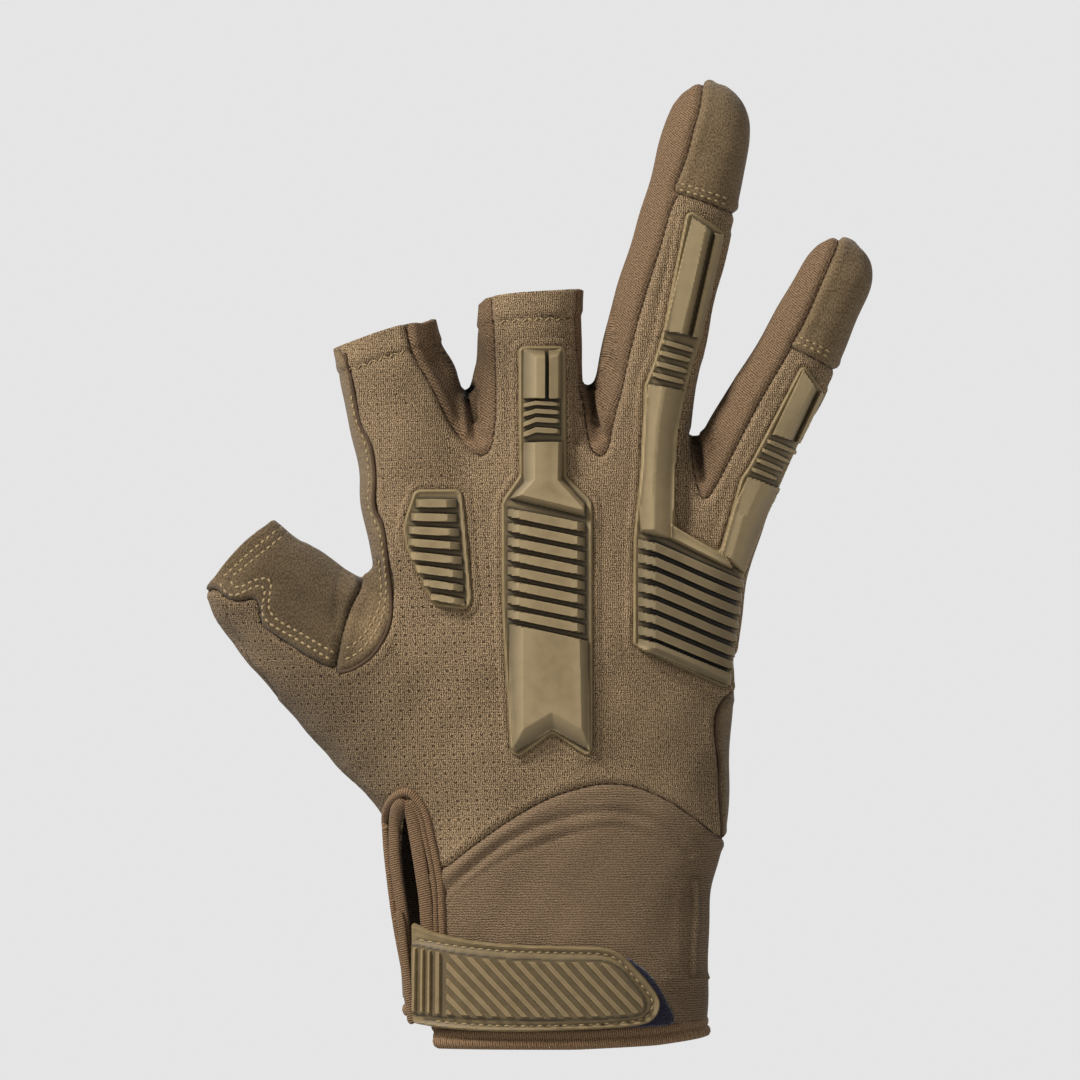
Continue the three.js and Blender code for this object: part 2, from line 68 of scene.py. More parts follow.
# The form of the glove. Columns: x and z of the middle, half width across, half depth front to back.
KNUCKLE_Z = 140
FINGER_BEND = 0.0011
THUMB_START_X = -30
THUMB_DROP = 9
THUMB_REACH = 50
LEVEL = "hand"  # the limb whose slices lie level; the others' stand square to their axis
LIMBS = {
    "hand": (2.5, [
        (0.4, -6, 37.3, 21), (0.2, 0, 37.5, 21), (-0.1, 12, 38.2, 21), (-0.5, 24, 38.8, 21),
        (-1.4, 37, 39.9, 20), (-0.75, 47, 41.75, 19.5), (0.25, 57, 42.95, 19), (-0.15, 72, 43.65, 18),
        (0.2, 87, 44.1, 17.5), (0.45, 102, 43.85, 17), (0.9, 112, 43.9, 16.5), (0.2, 122, 44.4, 16),
        (0.4, 132, 44.2, 15), (-1.5, 142, 42, 13.5), (-2, 150, 35, 11),
    ]),
    "thumb": (2.1, [
        (-22, 50, 11, 12), (-29, 66, 16, 16), (-39, 82, 19.5, 17), (-52.2, 95.5, 18.8, 16.5),
        (-64.2, 106.7, 17.0, 14.5), (-73.8, 115.8, 14.9, 12.2), (-79.4, 123.1, 11.9, 10.4),
        (-85.4, 129.4, 11.2, 10), (-92, 136, 11, 10),
    ]),
    "index": (2.2, [
        (-26, 100, 12, 10), (-29.5, 121, 15.5, 13), (-32.8, 137, 16.1, 13.5), (-34.8, 147, 15.2, 13.2),
        (-37.6, 157, 14.3, 12.8), (-40.6, 167, 13.6, 12.3), (-43.2, 179, 12.7, 11.6),
        (-45.9, 188, 12.3, 11.2), (-49, 198, 12, 11),
    ]),
    "middle": (2.2, [
        (-6, 100, 12, 10), (-6.4, 130, 15, 13.5), (-6.4, 149, 14.8, 13.6), (-6.2, 161, 13.4, 13),
        (-6.6, 172, 13.1, 12.4), (-6.4, 186, 12.9, 11.8), (-6.2, 196, 12.8, 11.6), (-6.2, 204, 12.6, 11.5),
    ]),
    "thumb web": (2.0, [
        (-34, 92, 11, 11), (-40, 106, 9, 9), (-43.6, 114.6, 6, 6), (-45.4, 118.4, 3, 3.6),
    ]),
    "index web": (2.0, [
        (-20.5, 134, 9, 10), (-21.6, 150, 6.6, 8.5), (-22.1, 158.5, 4, 6), (-22.3, 162.6, 2, 4),
    ]),
    "index fold": (2.0, [
        (-26.6, 158, 4.2, 7), (-28.2, 166, 3.9, 6.5), (-29.6, 170, 3.8, 6), (-33, 175, 3.0, 5),
    ]),
    "middle fold": (2.0, [
        (-18, 158, 4, 7), (-17.5, 166, 3.7, 6.5), (-16.2, 169.5, 3.2, 6), (-15, 174, 2, 5),
    ]),
    "pinky web": (2.0, [(33, 126, 7.5, 10), (34.3, 144, 4.4, 8), (34.8, 151.2, 2.0, 4)]),
    "ring web": (2.0, [
        (7.4, 134, 9, 10), (8.2, 152, 5.6, 8.5), (8.6, 160.5, 3.2, 6), (8.7, 164.6, 1.8, 4),
    ]),
    "ring": (2.2, [
        (23, 100, 10, 9), (21, 122, 12.5, 12.5), (19.7, 142, 13.5, 13.3), (20.9, 157, 13.0, 12.8),
        (23.6, 172, 12.6, 12.2), (27.0, 187, 12.3, 11.8), (31.2, 202, 11.8, 11.1), (34.5, 214, 11.3, 10.4),
        (36.9, 224.5, 11.3, 10), (38.0, 231, 10.6, 9.3), (38.5, 235.6, 9.3, 8.1), (38.7, 238.7, 7.2, 6.2),
        (38.8, 240.5, 4.8, 4.1), (38.85, 241.4, 2.6, 2.1), (38.9, 241.8, 0.7, 0.6),
    ]),
    "pinky": (2.2, [
        (35.5, 100, 9, 9), (37, 119, 10.8, 12), (40.7, 133, 11.4, 12), (45.4, 145.5, 11.2, 11.4),
        (51.0, 156.6, 11.0, 10.8), (57.2, 166.5, 10.6, 10.2), (62.3, 176.4, 10.1, 9.6), (67.1, 186.3, 9.4, 9),
        (70.4, 193.0, 8.9, 8.3), (72.1, 196.6, 7.9, 7), (73.2, 198.9, 6.5, 5.5), (74.0, 200.6, 4.4, 3.6),
        (74.4, 201.4, 2.4, 1.9), (74.6, 201.8, 0.7, 0.6),
    ]),
}


def mid_depth(x, z):
    above = np.maximum(0, z - KNUCKLE_Z)
    aside = np.maximum(0, THUMB_START_X - x) / THUMB_REACH
    return FINGER_BEND * above**2 + THUMB_DROP * aside**1.5


# Outlines in the front view.
INDEX_HEM = [
    (-66, 170.8), (-56.0, 174.4), (-37.8, 180.9), (-30.5, 180.7), (-21, 194), (-22, 225), (-66, 225),
]
MIDDLE_HEM = [
    (-24, 183), (-19.8, 185.3), (-16.4, 187.9), (5.6, 189.2), (14, 190), (14, 225), (-20, 225), (-21, 194),
]
THUMB_HEM = [
    (-94, 108), (-87.0, 115.2), (-82.6, 121.4), (-76.8, 127.4), (-70.4, 131.8), (-62, 141), (-80, 155),
    (-110, 130),
]
CUFF = [
    (-60, 20), (-45, 48), (-30, 43), (-21, 50.4), (-11, 57.6), (-1.2, 62.9), (8.4, 65.8), (14.8, 66.2),
    (21, 65.1), (27.5, 62.2), (34, 58), (40.2, 52.8), (44, 51), (60, 48), (60, -20), (-60, -20),
]
FOURCHETTE_INDEX_MIDDLE = [
    (-36.5, 196), (-37.6, 180.5), (-36.4, 174.5), (-33, 168.5), (-28.6, 160), (-25.8, 155), (-22, 149.8),
    (-18.8, 147.6), (-16.6, 149), (-15.6, 153.5), (-15.2, 162), (-15.6, 175), (-16.6, 196),
]
FOURCHETTE_MIDDLE_RING = [
    (4.9, 196), (5.0, 178), (6.2, 165), (7.4, 156), (8.3, 150.2), (10.6, 147.2), (13, 149.2), (14, 156),
    (16.4, 165), (18.6, 175), (22, 187.5), (26.7, 202.2), (28.9, 210.6), (31.2, 214.5), (32.6, 221.8),
    (34.6, 230.2), (36.4, 236), (37.6, 246), (18, 246),
]
FOURCHETTE_RING_PINKY = [
    (38, 175), (34, 160), (33.6, 148), (35.6, 138.2), (37.2, 136.6), (38.8, 138.4), (43.5, 147),
    (50.6, 161), (58.8, 174.8), (61.8, 180.3), (68, 194.8), (71.2, 201.6), (71.6, 210), (60, 210),
]
CAP_RING = [
    (29.0, 214.2), (30.4, 213.7), (44.4, 208.9), (54, 205.6), (54, 248), (37.6, 248), (36.4, 236),
    (34.6, 230.2), (32.6, 221.8),
]
CAP_PINKY = [
    (58.4, 175.2), (59.2, 174.8), (69.4, 169.7), (86, 160.5), (86, 210), (71.6, 210), (71.2, 201.6),
    (68, 194.8), (61.8, 180.3),
]
INDEX_WRAP = [
    (-64, 171), (-56.5, 175.5), (-53.8, 174.3), (-51.6, 168.5), (-50.3, 161.4), (-49, 155), (-46.2, 150.9),
    (-45, 143.2), (-45.5, 135), (-42.8, 130), (-42, 121.5), (-40.7, 110.5), (-41.7, 104.2), (-45.5, 98),
    (-50.5, 94.6), (-55.2, 93.4), (-54.6, 98), (-52, 109), (-47.6, 117.2), (-52, 122), (-60, 140),
]
EDGE_WRAP = [
    (41.2, 46), (41.6, 53.7), (41.0, 62.5), (40.9, 68.2), (40.0, 75.7), (39.5, 81.7), (41, 86),
    (44.7, 89.2), (56, 92), (56, 46),
]
THUMB_PATCH = [
    (-96, 106), (-87, 116), (-81.2, 110.7), (-74.5, 112.7), (-74, 106.2), (-73, 104.5), (-55.2, 93.4),
    (-54.6, 98), (-52, 109), (-47.6, 117.2), (-54, 126), (-71, 141),
]
SLIT_GAP = [
    (-38, 60.6), (-35.6, 54), (-34.6, 44), (-33.4, 30), (-31.4, 12), (-30.4, -8), (-40, -8), (-37, 5),
    (-35.8, 12), (-37.5, 30), (-39.6, 44), (-39.8, 54),
]
# The hem's lower edge on the back and on the palm. Columns: x, z.
HEM_LOW = [
    (-46, 11.4), (-38.8, 8.4), (-35, 6.2), (-32, 3), (-30.6, 0), (5, 0), (25, 0.9), (42, 2.9), (60, 4),
]
HEM_LOW_PALM = [
    (-46, 11.4), (-38.8, 8.4), (-36, 7.2), (-30, 5.4), (-20, 3), (-8, 1), (5, 0), (25, 0.9), (42, 2.9),
    (60, 4),
]
HEM_HEIGHT = 4.2


# Curves and outlines


def spline(points, steps=6, closed=False):
    """Points on a Catmull-Rom curve through the given ones, in any number of dimensions."""
    p = np.array(points, float)
    if closed:
        p = np.vstack([p[-1:], p, p[:2]])
    else:
        p = np.vstack([2 * p[0] - p[1], p, 2 * p[-1] - p[-2]])
    t = (np.arange(steps) / steps)[:, None]
    parts = []
    for before, a, b, after in zip(p, p[1:], p[2:], p[3:]):
        parts.append(
            0.5 * (2 * a + (b - before) * t + (2 * before - 5 * a + 4 * b - after) * t**2
                   + (3 * a - before - 3 * b + after) * t**3)
        )
    if not closed:
        parts.append(p[-2][None])
    return np.vstack(parts)


def unit(vectors):
    return vectors / np.maximum(np.linalg.norm(vectors, axis=-1, keepdims=True), TINY)


def lengths_along(path):
    """How far along the path each of its points lies."""
    return np.r_[0, np.cumsum(np.linalg.norm(np.diff(path, axis=0), axis=1))]


def resample(path, pitch):
    """Points a fixed distance apart along a path."""
    path = np.asarray(path, float)
    lengths = lengths_along(path)
    at = np.arange(0, lengths[-1], pitch)
    return np.stack([np.interp(at, lengths, column) for column in path.T], axis=1)


def sideways(path):
    """The direction to the left of the path, seen from the front."""
    along = unit(np.gradient(np.asarray(path, float), axis=0))
    return np.stack([-along[:, 1], along[:, 0]], axis=1)


def segment_distance(q, a, b):
    """Distance from each point to the line from a to b, and how far along it that is, from 0 to 1."""
    ab = b - a
    t = np.clip(((q - a) @ ab) / (ab @ ab + TINY), 0, 1)
    return np.linalg.norm(q - a - t[:, None] * ab, axis=1), t


def path_distance(q, path):
    path = np.asarray(path, float)
    return np.min([segment_distance(q, a, b)[0] for a, b in zip(path, path[1:])], axis=0)


def within(q, points, margin):
    """Which of q lie in the box round the points, widened by a margin."""
    points = np.asarray(points, float)
    return np.all((q > points.min(0) - margin) & (q < points.max(0) + margin), axis=1)


def outline_distance(points, outline):
    """Distance to an outline in the front view, negative inside it and at most FAR."""
    q = points[:, [0, -1]]
    outline = np.asarray(outline, float)
    out = np.full(len(q), FAR)
    near = within(q, outline, FAR)
    s = q[near]
    d = np.full(len(s), np.inf)
    inside = np.zeros(len(s), bool)
    for a, b in zip(outline, np.roll(outline, -1, axis=0)):
        d = np.minimum(d, segment_distance(s, a, b)[0])
        crosses = (a[1] > s[:, 1]) != (b[1] > s[:, 1])
        with np.errstate(divide="ignore", invalid="ignore"):
            at = a[0] + (s[:, 1] - a[1]) * (b[0] - a[0]) / (b[1] - a[1])
        inside ^= crosses & (s[:, 0] < at)
    out[near] = np.minimum(np.where(inside, -d, d), FAR)
    return out


def running_mean(values, reach):
    """Each value as the mean of itself and of as many on either side as reach says."""
    count = 2 * reach + 1
    return np.convolve(np.pad(values, reach, mode="edge"), np.ones(count) / count, mode="valid")


def ring_quads(count, sides):
    """Faces between rings of points that are held one after the other."""
    i = np.arange(count * sides).reshape(count, sides)
    j = np.roll(i, -1, axis=1)
    return np.stack([i[:-1], i[1:], j[1:], j[:-1]], axis=-1).reshape(-1, 4)


def bump(d, width):
    return np.exp(-((d / width) ** 2))


def smoothstep(x, low, high):
    t = np.clip((x - low) / (high - low), 0, 1)
    return t * t * (3 - 2 * t)


# The body as a field: the distance to the glove's outer surface, on a grid


def smooth_min(a, b, width):
    h = np.maximum(width - np.abs(a - b), 0) / width
    return np.minimum(a, b) - h * h * width / 4


END_ROOM = 0.3  # a place farther than this past the end of a limb's axis is outside the limb
DEPTH_SHARE = 0.2  # how much of its depth inside the limb such a place keeps
FLATTEST = 1 / 40  # keeps the distance finite in a limb's middle


def axis_rows(line, q, level):
    """Which row of a limb's table each place of the front view belongs to, as a fraction between rows."""
    if level:
        return np.interp(q[:, 1], line[:, 1], np.arange(len(line)))
    best = np.full(len(q), np.inf)
    row = np.zeros(len(q))
    for i, (a, b) in enumerate(zip(line[:-1, :2], line[1:, :2])):
        d, t = segment_distance(q, a, b)
        nearer = d < best
        best[nearer] = d[nearer]
        row[nearer] = i + t[nearer]
    return row


def limb_field(rows, exponent, level, xs, ys, zs):
    """About how far each place of a grid is from the surface of a limb with superellipses as its slices."""
    line = spline(rows, 8)
    gx, gz = np.meshgrid(xs, zs, indexing="ij")
    q = np.stack([gx.ravel(), gz.ravel()], axis=1)
    tangent = np.gradient(line[:, :2], axis=0)
    if level:
        tangent[:, 0] = 0
    row = axis_rows(line, q, level)
    cx, cz, width, depth, tx, tz = (
        np.interp(row, np.arange(len(line)), column).reshape(gx.shape) for column in (*line.T, *tangent.T)
    )
    length = np.hypot(tx, tz)
    tx, tz = tx / length, tz / length
    dx, dz = gx - cx, gz - cz
    u = (np.abs(dx * tz - dz * tx) / width)[:, None, :]
    past = np.abs(dx * tx + dz * tz)[:, None, :]
    width, depth = width[:, None, :], depth[:, None, :]
    w = np.abs(ys[None, :, None] - mid_depth(cx, cz)[:, None, :]) / depth
    r = np.maximum((u**exponent + w**exponent) ** (1 / exponent), 1e-3)
    slope = np.hypot((u / r) ** (exponent - 1) / width, (w / r) ** (exponent - 1) / depth)
    d = (r - 1) / np.maximum(slope, FLATTEST)
    return np.where(past > END_ROOM, np.hypot(np.maximum(d, 0), past) + np.minimum(d, 0) * DEPTH_SHARE, d)


class Field:
    """The distance to the glove's outer surface on a grid of voxels, negative inside."""

    LOW = np.array([-94.0, -28.0, -8.0])
    HIGH = (86, 34, 248)
    DEEP = 12.0  # distances are kept within this
    SIDE_MARGIN, END_MARGIN = 8, 10  # how far round a limb it is worked out

    def __init__(self):
        self.axes = [np.arange(low, high, VOXEL) for low, high in zip(self.LOW, self.HIGH)]
        self.values = np.full([len(axis) for axis in self.axes], self.DEEP)
        for name, (exponent, rows) in LIMBS.items():
            x, z, width, depth = np.array(rows).T
            side = max(width.max(), depth.max()) + self.SIDE_MARGIN
            z_ends = (z.min() - self.END_MARGIN, z.max() + self.END_MARGIN)
            box = [(x.min() - side, x.max() + side), (-np.inf, np.inf), z_ends]
            cut = tuple(slice(*np.searchsorted(axis, ends)) for axis, ends in zip(self.axes, box))
            limb = limb_field(rows, exponent, name == LEVEL, *(axis[c] for axis, c in zip(self.axes, cut)))
            limb = np.clip(limb, -self.DEEP, self.DEEP)
            self.values[cut] = smooth_min(self.values[cut], limb, BLEND)
        self.front_map = self.first_hit()

    def first_hit(self):
        """The depth at which a line along +Y first meets the body, for each x and z of the grid."""
        inside = self.values < 0
        first = np.maximum(np.argmax(inside, axis=1), 1)
        ix, iz = np.indices(first.shape)
        b = self.values[ix, first, iz]
        a = self.values[ix, first - 1, iz]
        y = self.axes[1][first - 1] + VOXEL * a / np.where(np.abs(a - b) < TINY, 1, a - b)
        return np.where(inside.any(axis=1), y, np.nan)

    def sample(self, points):
        g = np.clip((points - self.LOW) / VOXEL, 0, np.array(self.values.shape) - 1.001)
        i = g.astype(int)
        f = g - i
        total = 0
        for corner in np.ndindex(2, 2, 2):
            weight = np.prod(np.where(corner, f, 1 - f), axis=1)
            total = total + weight * self.values[tuple((i + corner).T)]
        return total

    def normals(self, points, reach=1.2):
        steps = [self.sample(points + reach * e) - self.sample(points - reach * e) for e in np.eye(3)]
        return unit(np.stack(steps, axis=1))

    def on_front(self, xz):
        """Points of the front surface at x and z, and its normals."""
        xz = np.asarray(xz, float)
        g = (xz - self.LOW[[0, 2]]) / VOXEL
        i = np.clip(g.astype(int), 0, np.array(self.front_map.shape) - 2)
        f = g - i
        total, weights = np.zeros(len(xz)), np.zeros(len(xz))
        for corner in np.ndindex(2, 2):
            depth = self.front_map[tuple((i + corner).T)]
            weight = np.where(np.isnan(depth), 0, np.prod(np.where(corner, f, 1 - f), axis=1) + 1e-6)
            total += weight * np.nan_to_num(depth)
            weights += weight
        y = np.where(weights > 0, total / np.maximum(weights, TINY), 0)
        points = np.stack([xz[:, 0], y, xz[:, 1]], axis=1)
        normals = self.normals(points)
        for _ in range(2):
            points = points - normals * self.sample(points)[:, None] * [0.15, 1, 0.15]
        return points, self.normals(points)


# Triangle meshes held as arrays, and cut along lines


class Cloth:
    """Points, triangles and any number of values a point, which stay together through cuts."""

    def __init__(self, points, triangles):
        self.points = points
        self.triangles = triangles
        self.values = {}

    def split(self, name, level=0.0, snap=SNAP):
        """Cuts each triangle that the value crosses, so that none has points on both sides of the level."""
        f = self.values[name] - level
        f = np.where(np.abs(f) < snap, 0, f)
        self.values[name] = f + level
        t = self.triangles
        s = np.sign(f)[t]
        crossing = (s.min(1) < 0) & (s.max(1) > 0)
        if not crossing.any():
            return
        c, sc = t[crossing], s[crossing]
        edges = np.sort(np.vstack([c[:, [0, 1]], c[:, [1, 2]], c[:, [2, 0]]]), axis=1)
        opposite = f[edges[:, 0]] * f[edges[:, 1]] < 0
        unique = np.unique(edges[opposite], axis=0)
        a, b = unique[:, 0], unique[:, 1]
        share = f[a] / (f[a] - f[b])
        start = len(self.points)
        keys = unique[:, 0].astype(np.int64) * start + unique[:, 1]
        added = self.points[a] + share[:, None] * (self.points[b] - self.points[a])
        self.points = np.vstack([self.points, added])
        for key, value in self.values.items():
            self.values[key] = np.r_[value, value[a] + share * (value[b] - value[a])]
        self.values[name][start:] = level

        def between(p, q):
            wanted = np.minimum(p, q).astype(np.int64) * start + np.maximum(p, q)
            return start + np.searchsorted(keys, wanted)

        zero = (sc == 0).any(1)
        parts = [t[~crossing]]
        if zero.any():
            turn = np.argmax(sc[zero] == 0, axis=1)
            p, q, r = (c[zero][np.arange(len(turn)), (turn + k) % 3] for k in range(3))
            m = between(q, r)
            parts += [np.stack([p, q, m], 1), np.stack([p, m, r], 1)]
        if (~zero).any():
            sn = sc[~zero]
            alone = np.argmax(sn * np.sign(sn.sum(1, keepdims=True)) < 0, axis=1)
            p, q, r = (c[~zero][np.arange(len(alone)), (alone + k) % 3] for k in range(3))
            m, n = between(p, q), between(p, r)
            parts += [np.stack([p, m, n], 1), np.stack([m, q, r], 1), np.stack([m, r, n], 1)]
        self.triangles = np.vstack(parts)

    def middle(self, name):
        return self.values[name][self.triangles].mean(1)

    def part(self, chosen):
        """A new Cloth of some of the triangles."""
        t = self.triangles[chosen]
        used, index = np.unique(t, return_inverse=True)
        out = Cloth(self.points[used], index.reshape(-1, 3))
        out.values = {key: value[used] for key, value in self.values.items()}
        return out


def border_edges(triangles):
    """The edges that only one triangle has, each in that triangle's direction."""
    edges = np.vstack([triangles[:, [0, 1]], triangles[:, [1, 2]], triangles[:, [2, 0]]])
    keys = np.sort(edges, axis=1)
    _, index, count = np.unique(keys, axis=0, return_index=True, return_counts=True)
    return edges[index[count == 1]]


def triangulate(points, quads):
    """Splits each quad along its shorter diagonal."""
    a = np.linalg.norm(points[quads[:, 0]] - points[quads[:, 2]], axis=1)
    b = np.linalg.norm(points[quads[:, 1]] - points[quads[:, 3]], axis=1)
    first = a <= b
    f, g = quads[first], quads[~first]
    return np.vstack([f[:, [0, 1, 2]], f[:, [0, 2, 3]], g[:, [0, 1, 3]], g[:, [1, 2, 3]]])


def body_cloth(field):
    """The field's surface as one closed mesh, its triangles facing out."""
    grid = openvdb.FloatGrid(field.DEEP)
    grid.copyFromArray(field.values)
    points, quads = grid.convertToQuads(0.0)
    points = np.asarray(points, float) * VOXEL + field.LOW
    triangles = triangulate(points, np.asarray(quads, int))
    for _ in range(2):
        points = points - field.normals(points) * field.sample(points)[:, None]
    a, b, c = (points[triangles[:, k]] for k in range(3))
    if np.einsum("ij,ij->i", a, np.cross(b, c)).sum() < 0:
        triangles = triangles[:, ::-1]
    return Cloth(points, triangles)


# Folds and embossing of the cloth. Columns: x, z to x, z, width, height, which is negative for a crease.
FOLDS = [
    (-21.9, 165.5, -20.4, 157, 0.75, -3.4),
    (-20.9, 157, -20.2, 152.5, 1.0, -1.1),
    (-23.6, 162, -22.6, 153.5, 1.0, 1.0),
    (-19.2, 161, -17.9, 153.5, 0.9, 1.0),
    (-30, 172, -24, 164, 1.2, -0.8),
    (-32, 168, -26.5, 160, 1.5, 0.5),
    (8.3, 167, 9.8, 156, 0.7, -3.2),
    (9.8, 156, 10.4, 152.5, 1.0, -1.2),
    (6.9, 162, 8.1, 153.5, 0.9, 1.1),
    (10.2, 163.5, 12.5, 154, 0.8, 1.2),
    (13, 172, 15.5, 163, 1.2, -0.6),
    (34.5, 155, 36.4, 142, 0.8, -2.6),
    (36.8, 155, 38.2, 145, 1.0, 0.9),
    (33.2, 152, 34.6, 143, 1.0, 0.6),
    (-44, 121, -40, 114, 1.4, -0.5),
    (-46, 112, -44, 102, 2.4, 0.5),
    (-54.5, 117, -55, 95, 0.9, -0.5),
    (-30, 176, -26, 170, 2.2, -0.5),
    (-26, 168, -23.5, 163, 1.6, 0.5),
    (40, 165, 44, 158, 2.0, -0.4),
    (44, 170, 48.5, 161, 1.6, 0.35),
    (14, 172, 17.5, 163, 1.8, -0.35),
    (17, 186, 22, 178, 2.4, 0.35),
    (22, 208, 26, 196, 2.6, -0.3),
    (-84, 104, -76, 98, 2.2, -0.5),
    (-80, 98, -70, 93, 1.8, 0.4),
    (-74, 90, -62, 82, 2.6, -0.35),
    (-60, 76, -50, 68, 2.4, -0.4),
    (-52, 70, -44, 63, 1.8, 0.4),
    (-20, 176, -17, 168, 1.2, -0.35),
]
CUFF_LINES_PX = {
    "upper": [(444, 893), (470, 868), (503, 843), (551, 820), (602, 810), (641, 815), (668, 830), (690, 852)],
    "lower": [(444, 905), (478, 876), (513, 853), (564, 835), (615, 824), (650, 836)],
    "side": [(694, 880), (694, 905), (692, 950), (692, 972)],
    "level": [(664, 977), (685, 979), (709, 977)],
}
CUFF_PAD_PX = [(676, 884), (696, 878), (712, 886), (712, 975), (700, 981), (680, 978), (672, 940)]
SEAM_DEPTH, SEAM_WIDTH = 0.55, 0.55
SEAM_PUFF, PUFF_FROM_SEAM, PUFF_WIDTH = 0.3, 1.9, 1.0
FOLD_REACH = 24  # a fold is worked out this near its middle
# The cuff's embossed lines: rise and width.
LINE_RELIEF = {"upper": (-0.4, 0.9), "lower": (-0.4, 0.9), "side": (0.65, 0.6), "level": (0.65, 0.6)}
PAD_RISE = 0.3
LEDGE_RISE, LEDGE_FROM_LINE, LEDGE_WIDTH = 0.45, 2.2, 1.5  # beside the cuff's upper line
GUARD_PUFF, GUARD_MOAT, MOAT_FROM_GUARD = 0.5, 0.15, 2.2  # the cloth swells round a guard and dips past that
WAVE = 0.16  # height of the cloth's slow swells


def seam_relief(d):
    """A groove in the seam and a low ridge beside it."""
    return -SEAM_DEPTH * bump(d, SEAM_WIDTH) + SEAM_PUFF * bump(np.abs(d) - PUFF_FROM_SEAM, PUFF_WIDTH)


def fold_distance(q, row):
    return segment_distance(q, np.array(row[:2]), np.array(row[2:4]))


class Relief:
    """How far the cloth stands off the plain form, from where a point lies and which way it faces."""

    def __init__(self):
        self.lines = {key: spline(from_photo(line), 5) for key, line in CUFF_LINES_PX.items()}
        self.pad = spline(from_photo(CUFF_PAD_PX), 5, closed=True)
        self.guards = [rounded_corners(outline) for outline in GUARD_FLANGES.values()]

    def __call__(self, points, normals):
        q = points[:, [0, 2]]
        front = smoothstep(-normals[:, 1], 0.0, 0.3)
        total = self.folds(q) * front
        total += self.cuff(points, q) * front
        for flange in self.guards:
            d = outline_distance(points, flange)
            puff = GUARD_PUFF * smoothstep(d, 0.05, 0.5) * smoothstep(-d, -1.9, -1.2)
            total += front * (puff - GUARD_MOAT * bump(d - MOAT_FROM_GUARD, 0.5))
        x, z = q.T
        swell = np.sin(x * 0.21 + z * 0.13) * np.sin(z * 0.17 - 1.3) + 0.6 * np.sin(x * 0.43 - z * 0.31 + 2)
        total += WAVE * swell
        return total / np.clip(-normals[:, 1], 0.3, 1) ** 0.2

    def folds(self, q):
        total = np.zeros(len(q))
        for row in FOLDS:
            width, height = row[4:]
            near = np.linalg.norm(q - np.mean([row[:2], row[2:4]], axis=0), axis=1) < FOLD_REACH
            d, t = fold_distance(q[near], row)
            total[near] += height * bump(d, width) * (0.6 + 0.4 * np.sin(np.pi * np.clip(t, 0.05, 0.95)))
        return total

    def cuff(self, points, q):
        total = np.zeros(len(q))
        near = (q[:, 1] < 64) & (q[:, 0] > -30)
        for key, line in self.lines.items():
            rise, width = LINE_RELIEF[key]
            d = path_distance(q[near], line)
            total[near] += rise * bump(d, width)
            if key == "upper":
                total[near] += LEDGE_RISE * bump(d - LEDGE_FROM_LINE, LEDGE_WIDTH)
        low = q[:, 1] < 60
        total[low] += PAD_RISE * smoothstep(-outline_distance(points[low], self.pad), -0.8, 1.6)
        return total


# Guards
GUARD_FLANGES = {
    "guard_index": from_photo([
        (414, 491), (420, 489), (458, 489), (463, 492), (466, 518), (473, 597), (471, 606), (465, 610),
        (437, 607), (431, 602), (406, 549), (403, 530), (405, 518),
    ]),
    "guard_middle": from_photo([
        (518, 350), (522, 346), (562, 346), (566, 350), (567, 476), (591, 499), (593, 505), (593, 748),
        (590, 755), (584, 755), (552, 733), (521, 756), (513, 755), (510, 750), (502, 620), (501, 505),
        (503, 499), (519, 476),
    ]),
    "guard_ring_pinky": from_photo([
        (686, 213), (694, 211), (724, 230), (725, 236), (702, 338), (694, 362), (688, 385), (676, 440),
        (675, 526), (719, 551), (740, 478), (748, 466), (766, 432), (800, 367), (806, 366), (823, 389),
        (822, 396), (798, 446), (779, 490), (760, 535), (744, 575), (741, 600), (729, 688), (722, 688),
        (640, 650), (632, 645), (633, 535), (640, 470), (644, 385), (652, 366), (662, 332),
    ]),
}
CORNER = 0.7  # length of an outline's side that a rounded corner takes up
STEEP = 0.2  # bevel of a wall that stands nearly upright
SHOULDER = 0.3  # share of a block's height that stands straight up below its facet
NONE = 0.01  # bevel of an edge where the block runs on into the next one
# Blocks of the guards. Columns: outline in the photograph; bevel width of each edge, starting at the first
# point, or that width and the shoulder below it; height.
MIDDLE_BLOCKS_PX = [
    ([(523, 349), (545, 351), (545, 400), (523, 400)], (1.9, STEEP, STEEP, 3.3), 2.6),
    ([(547.5, 351), (561, 349), (561, 400), (547.5, 400)], (1.9, 1.2, STEEP, STEEP), 2.6),
    ([(523, 442), (562.5, 442), (562.5, 486), (523, 486)], (STEEP, 1.4, NONE, 3.0), 2.6),
    ([(523, 483), (562.5, 479), (585, 503), (585, 518), (509, 499)], (NONE, 1.4, 0.5, 1.7, 1.8), 2.6),
    ([(509, 622.5), (552, 632), (552, 729.5), (515, 752), (509, 745)], (STEEP, NONE, 4.0, 2.4, 3.6), 2.9),
    ([(552, 632), (588, 640), (590.5, 751), (552, 729.5)], (STEEP, 2.2, 4.0, NONE), 2.9),
]
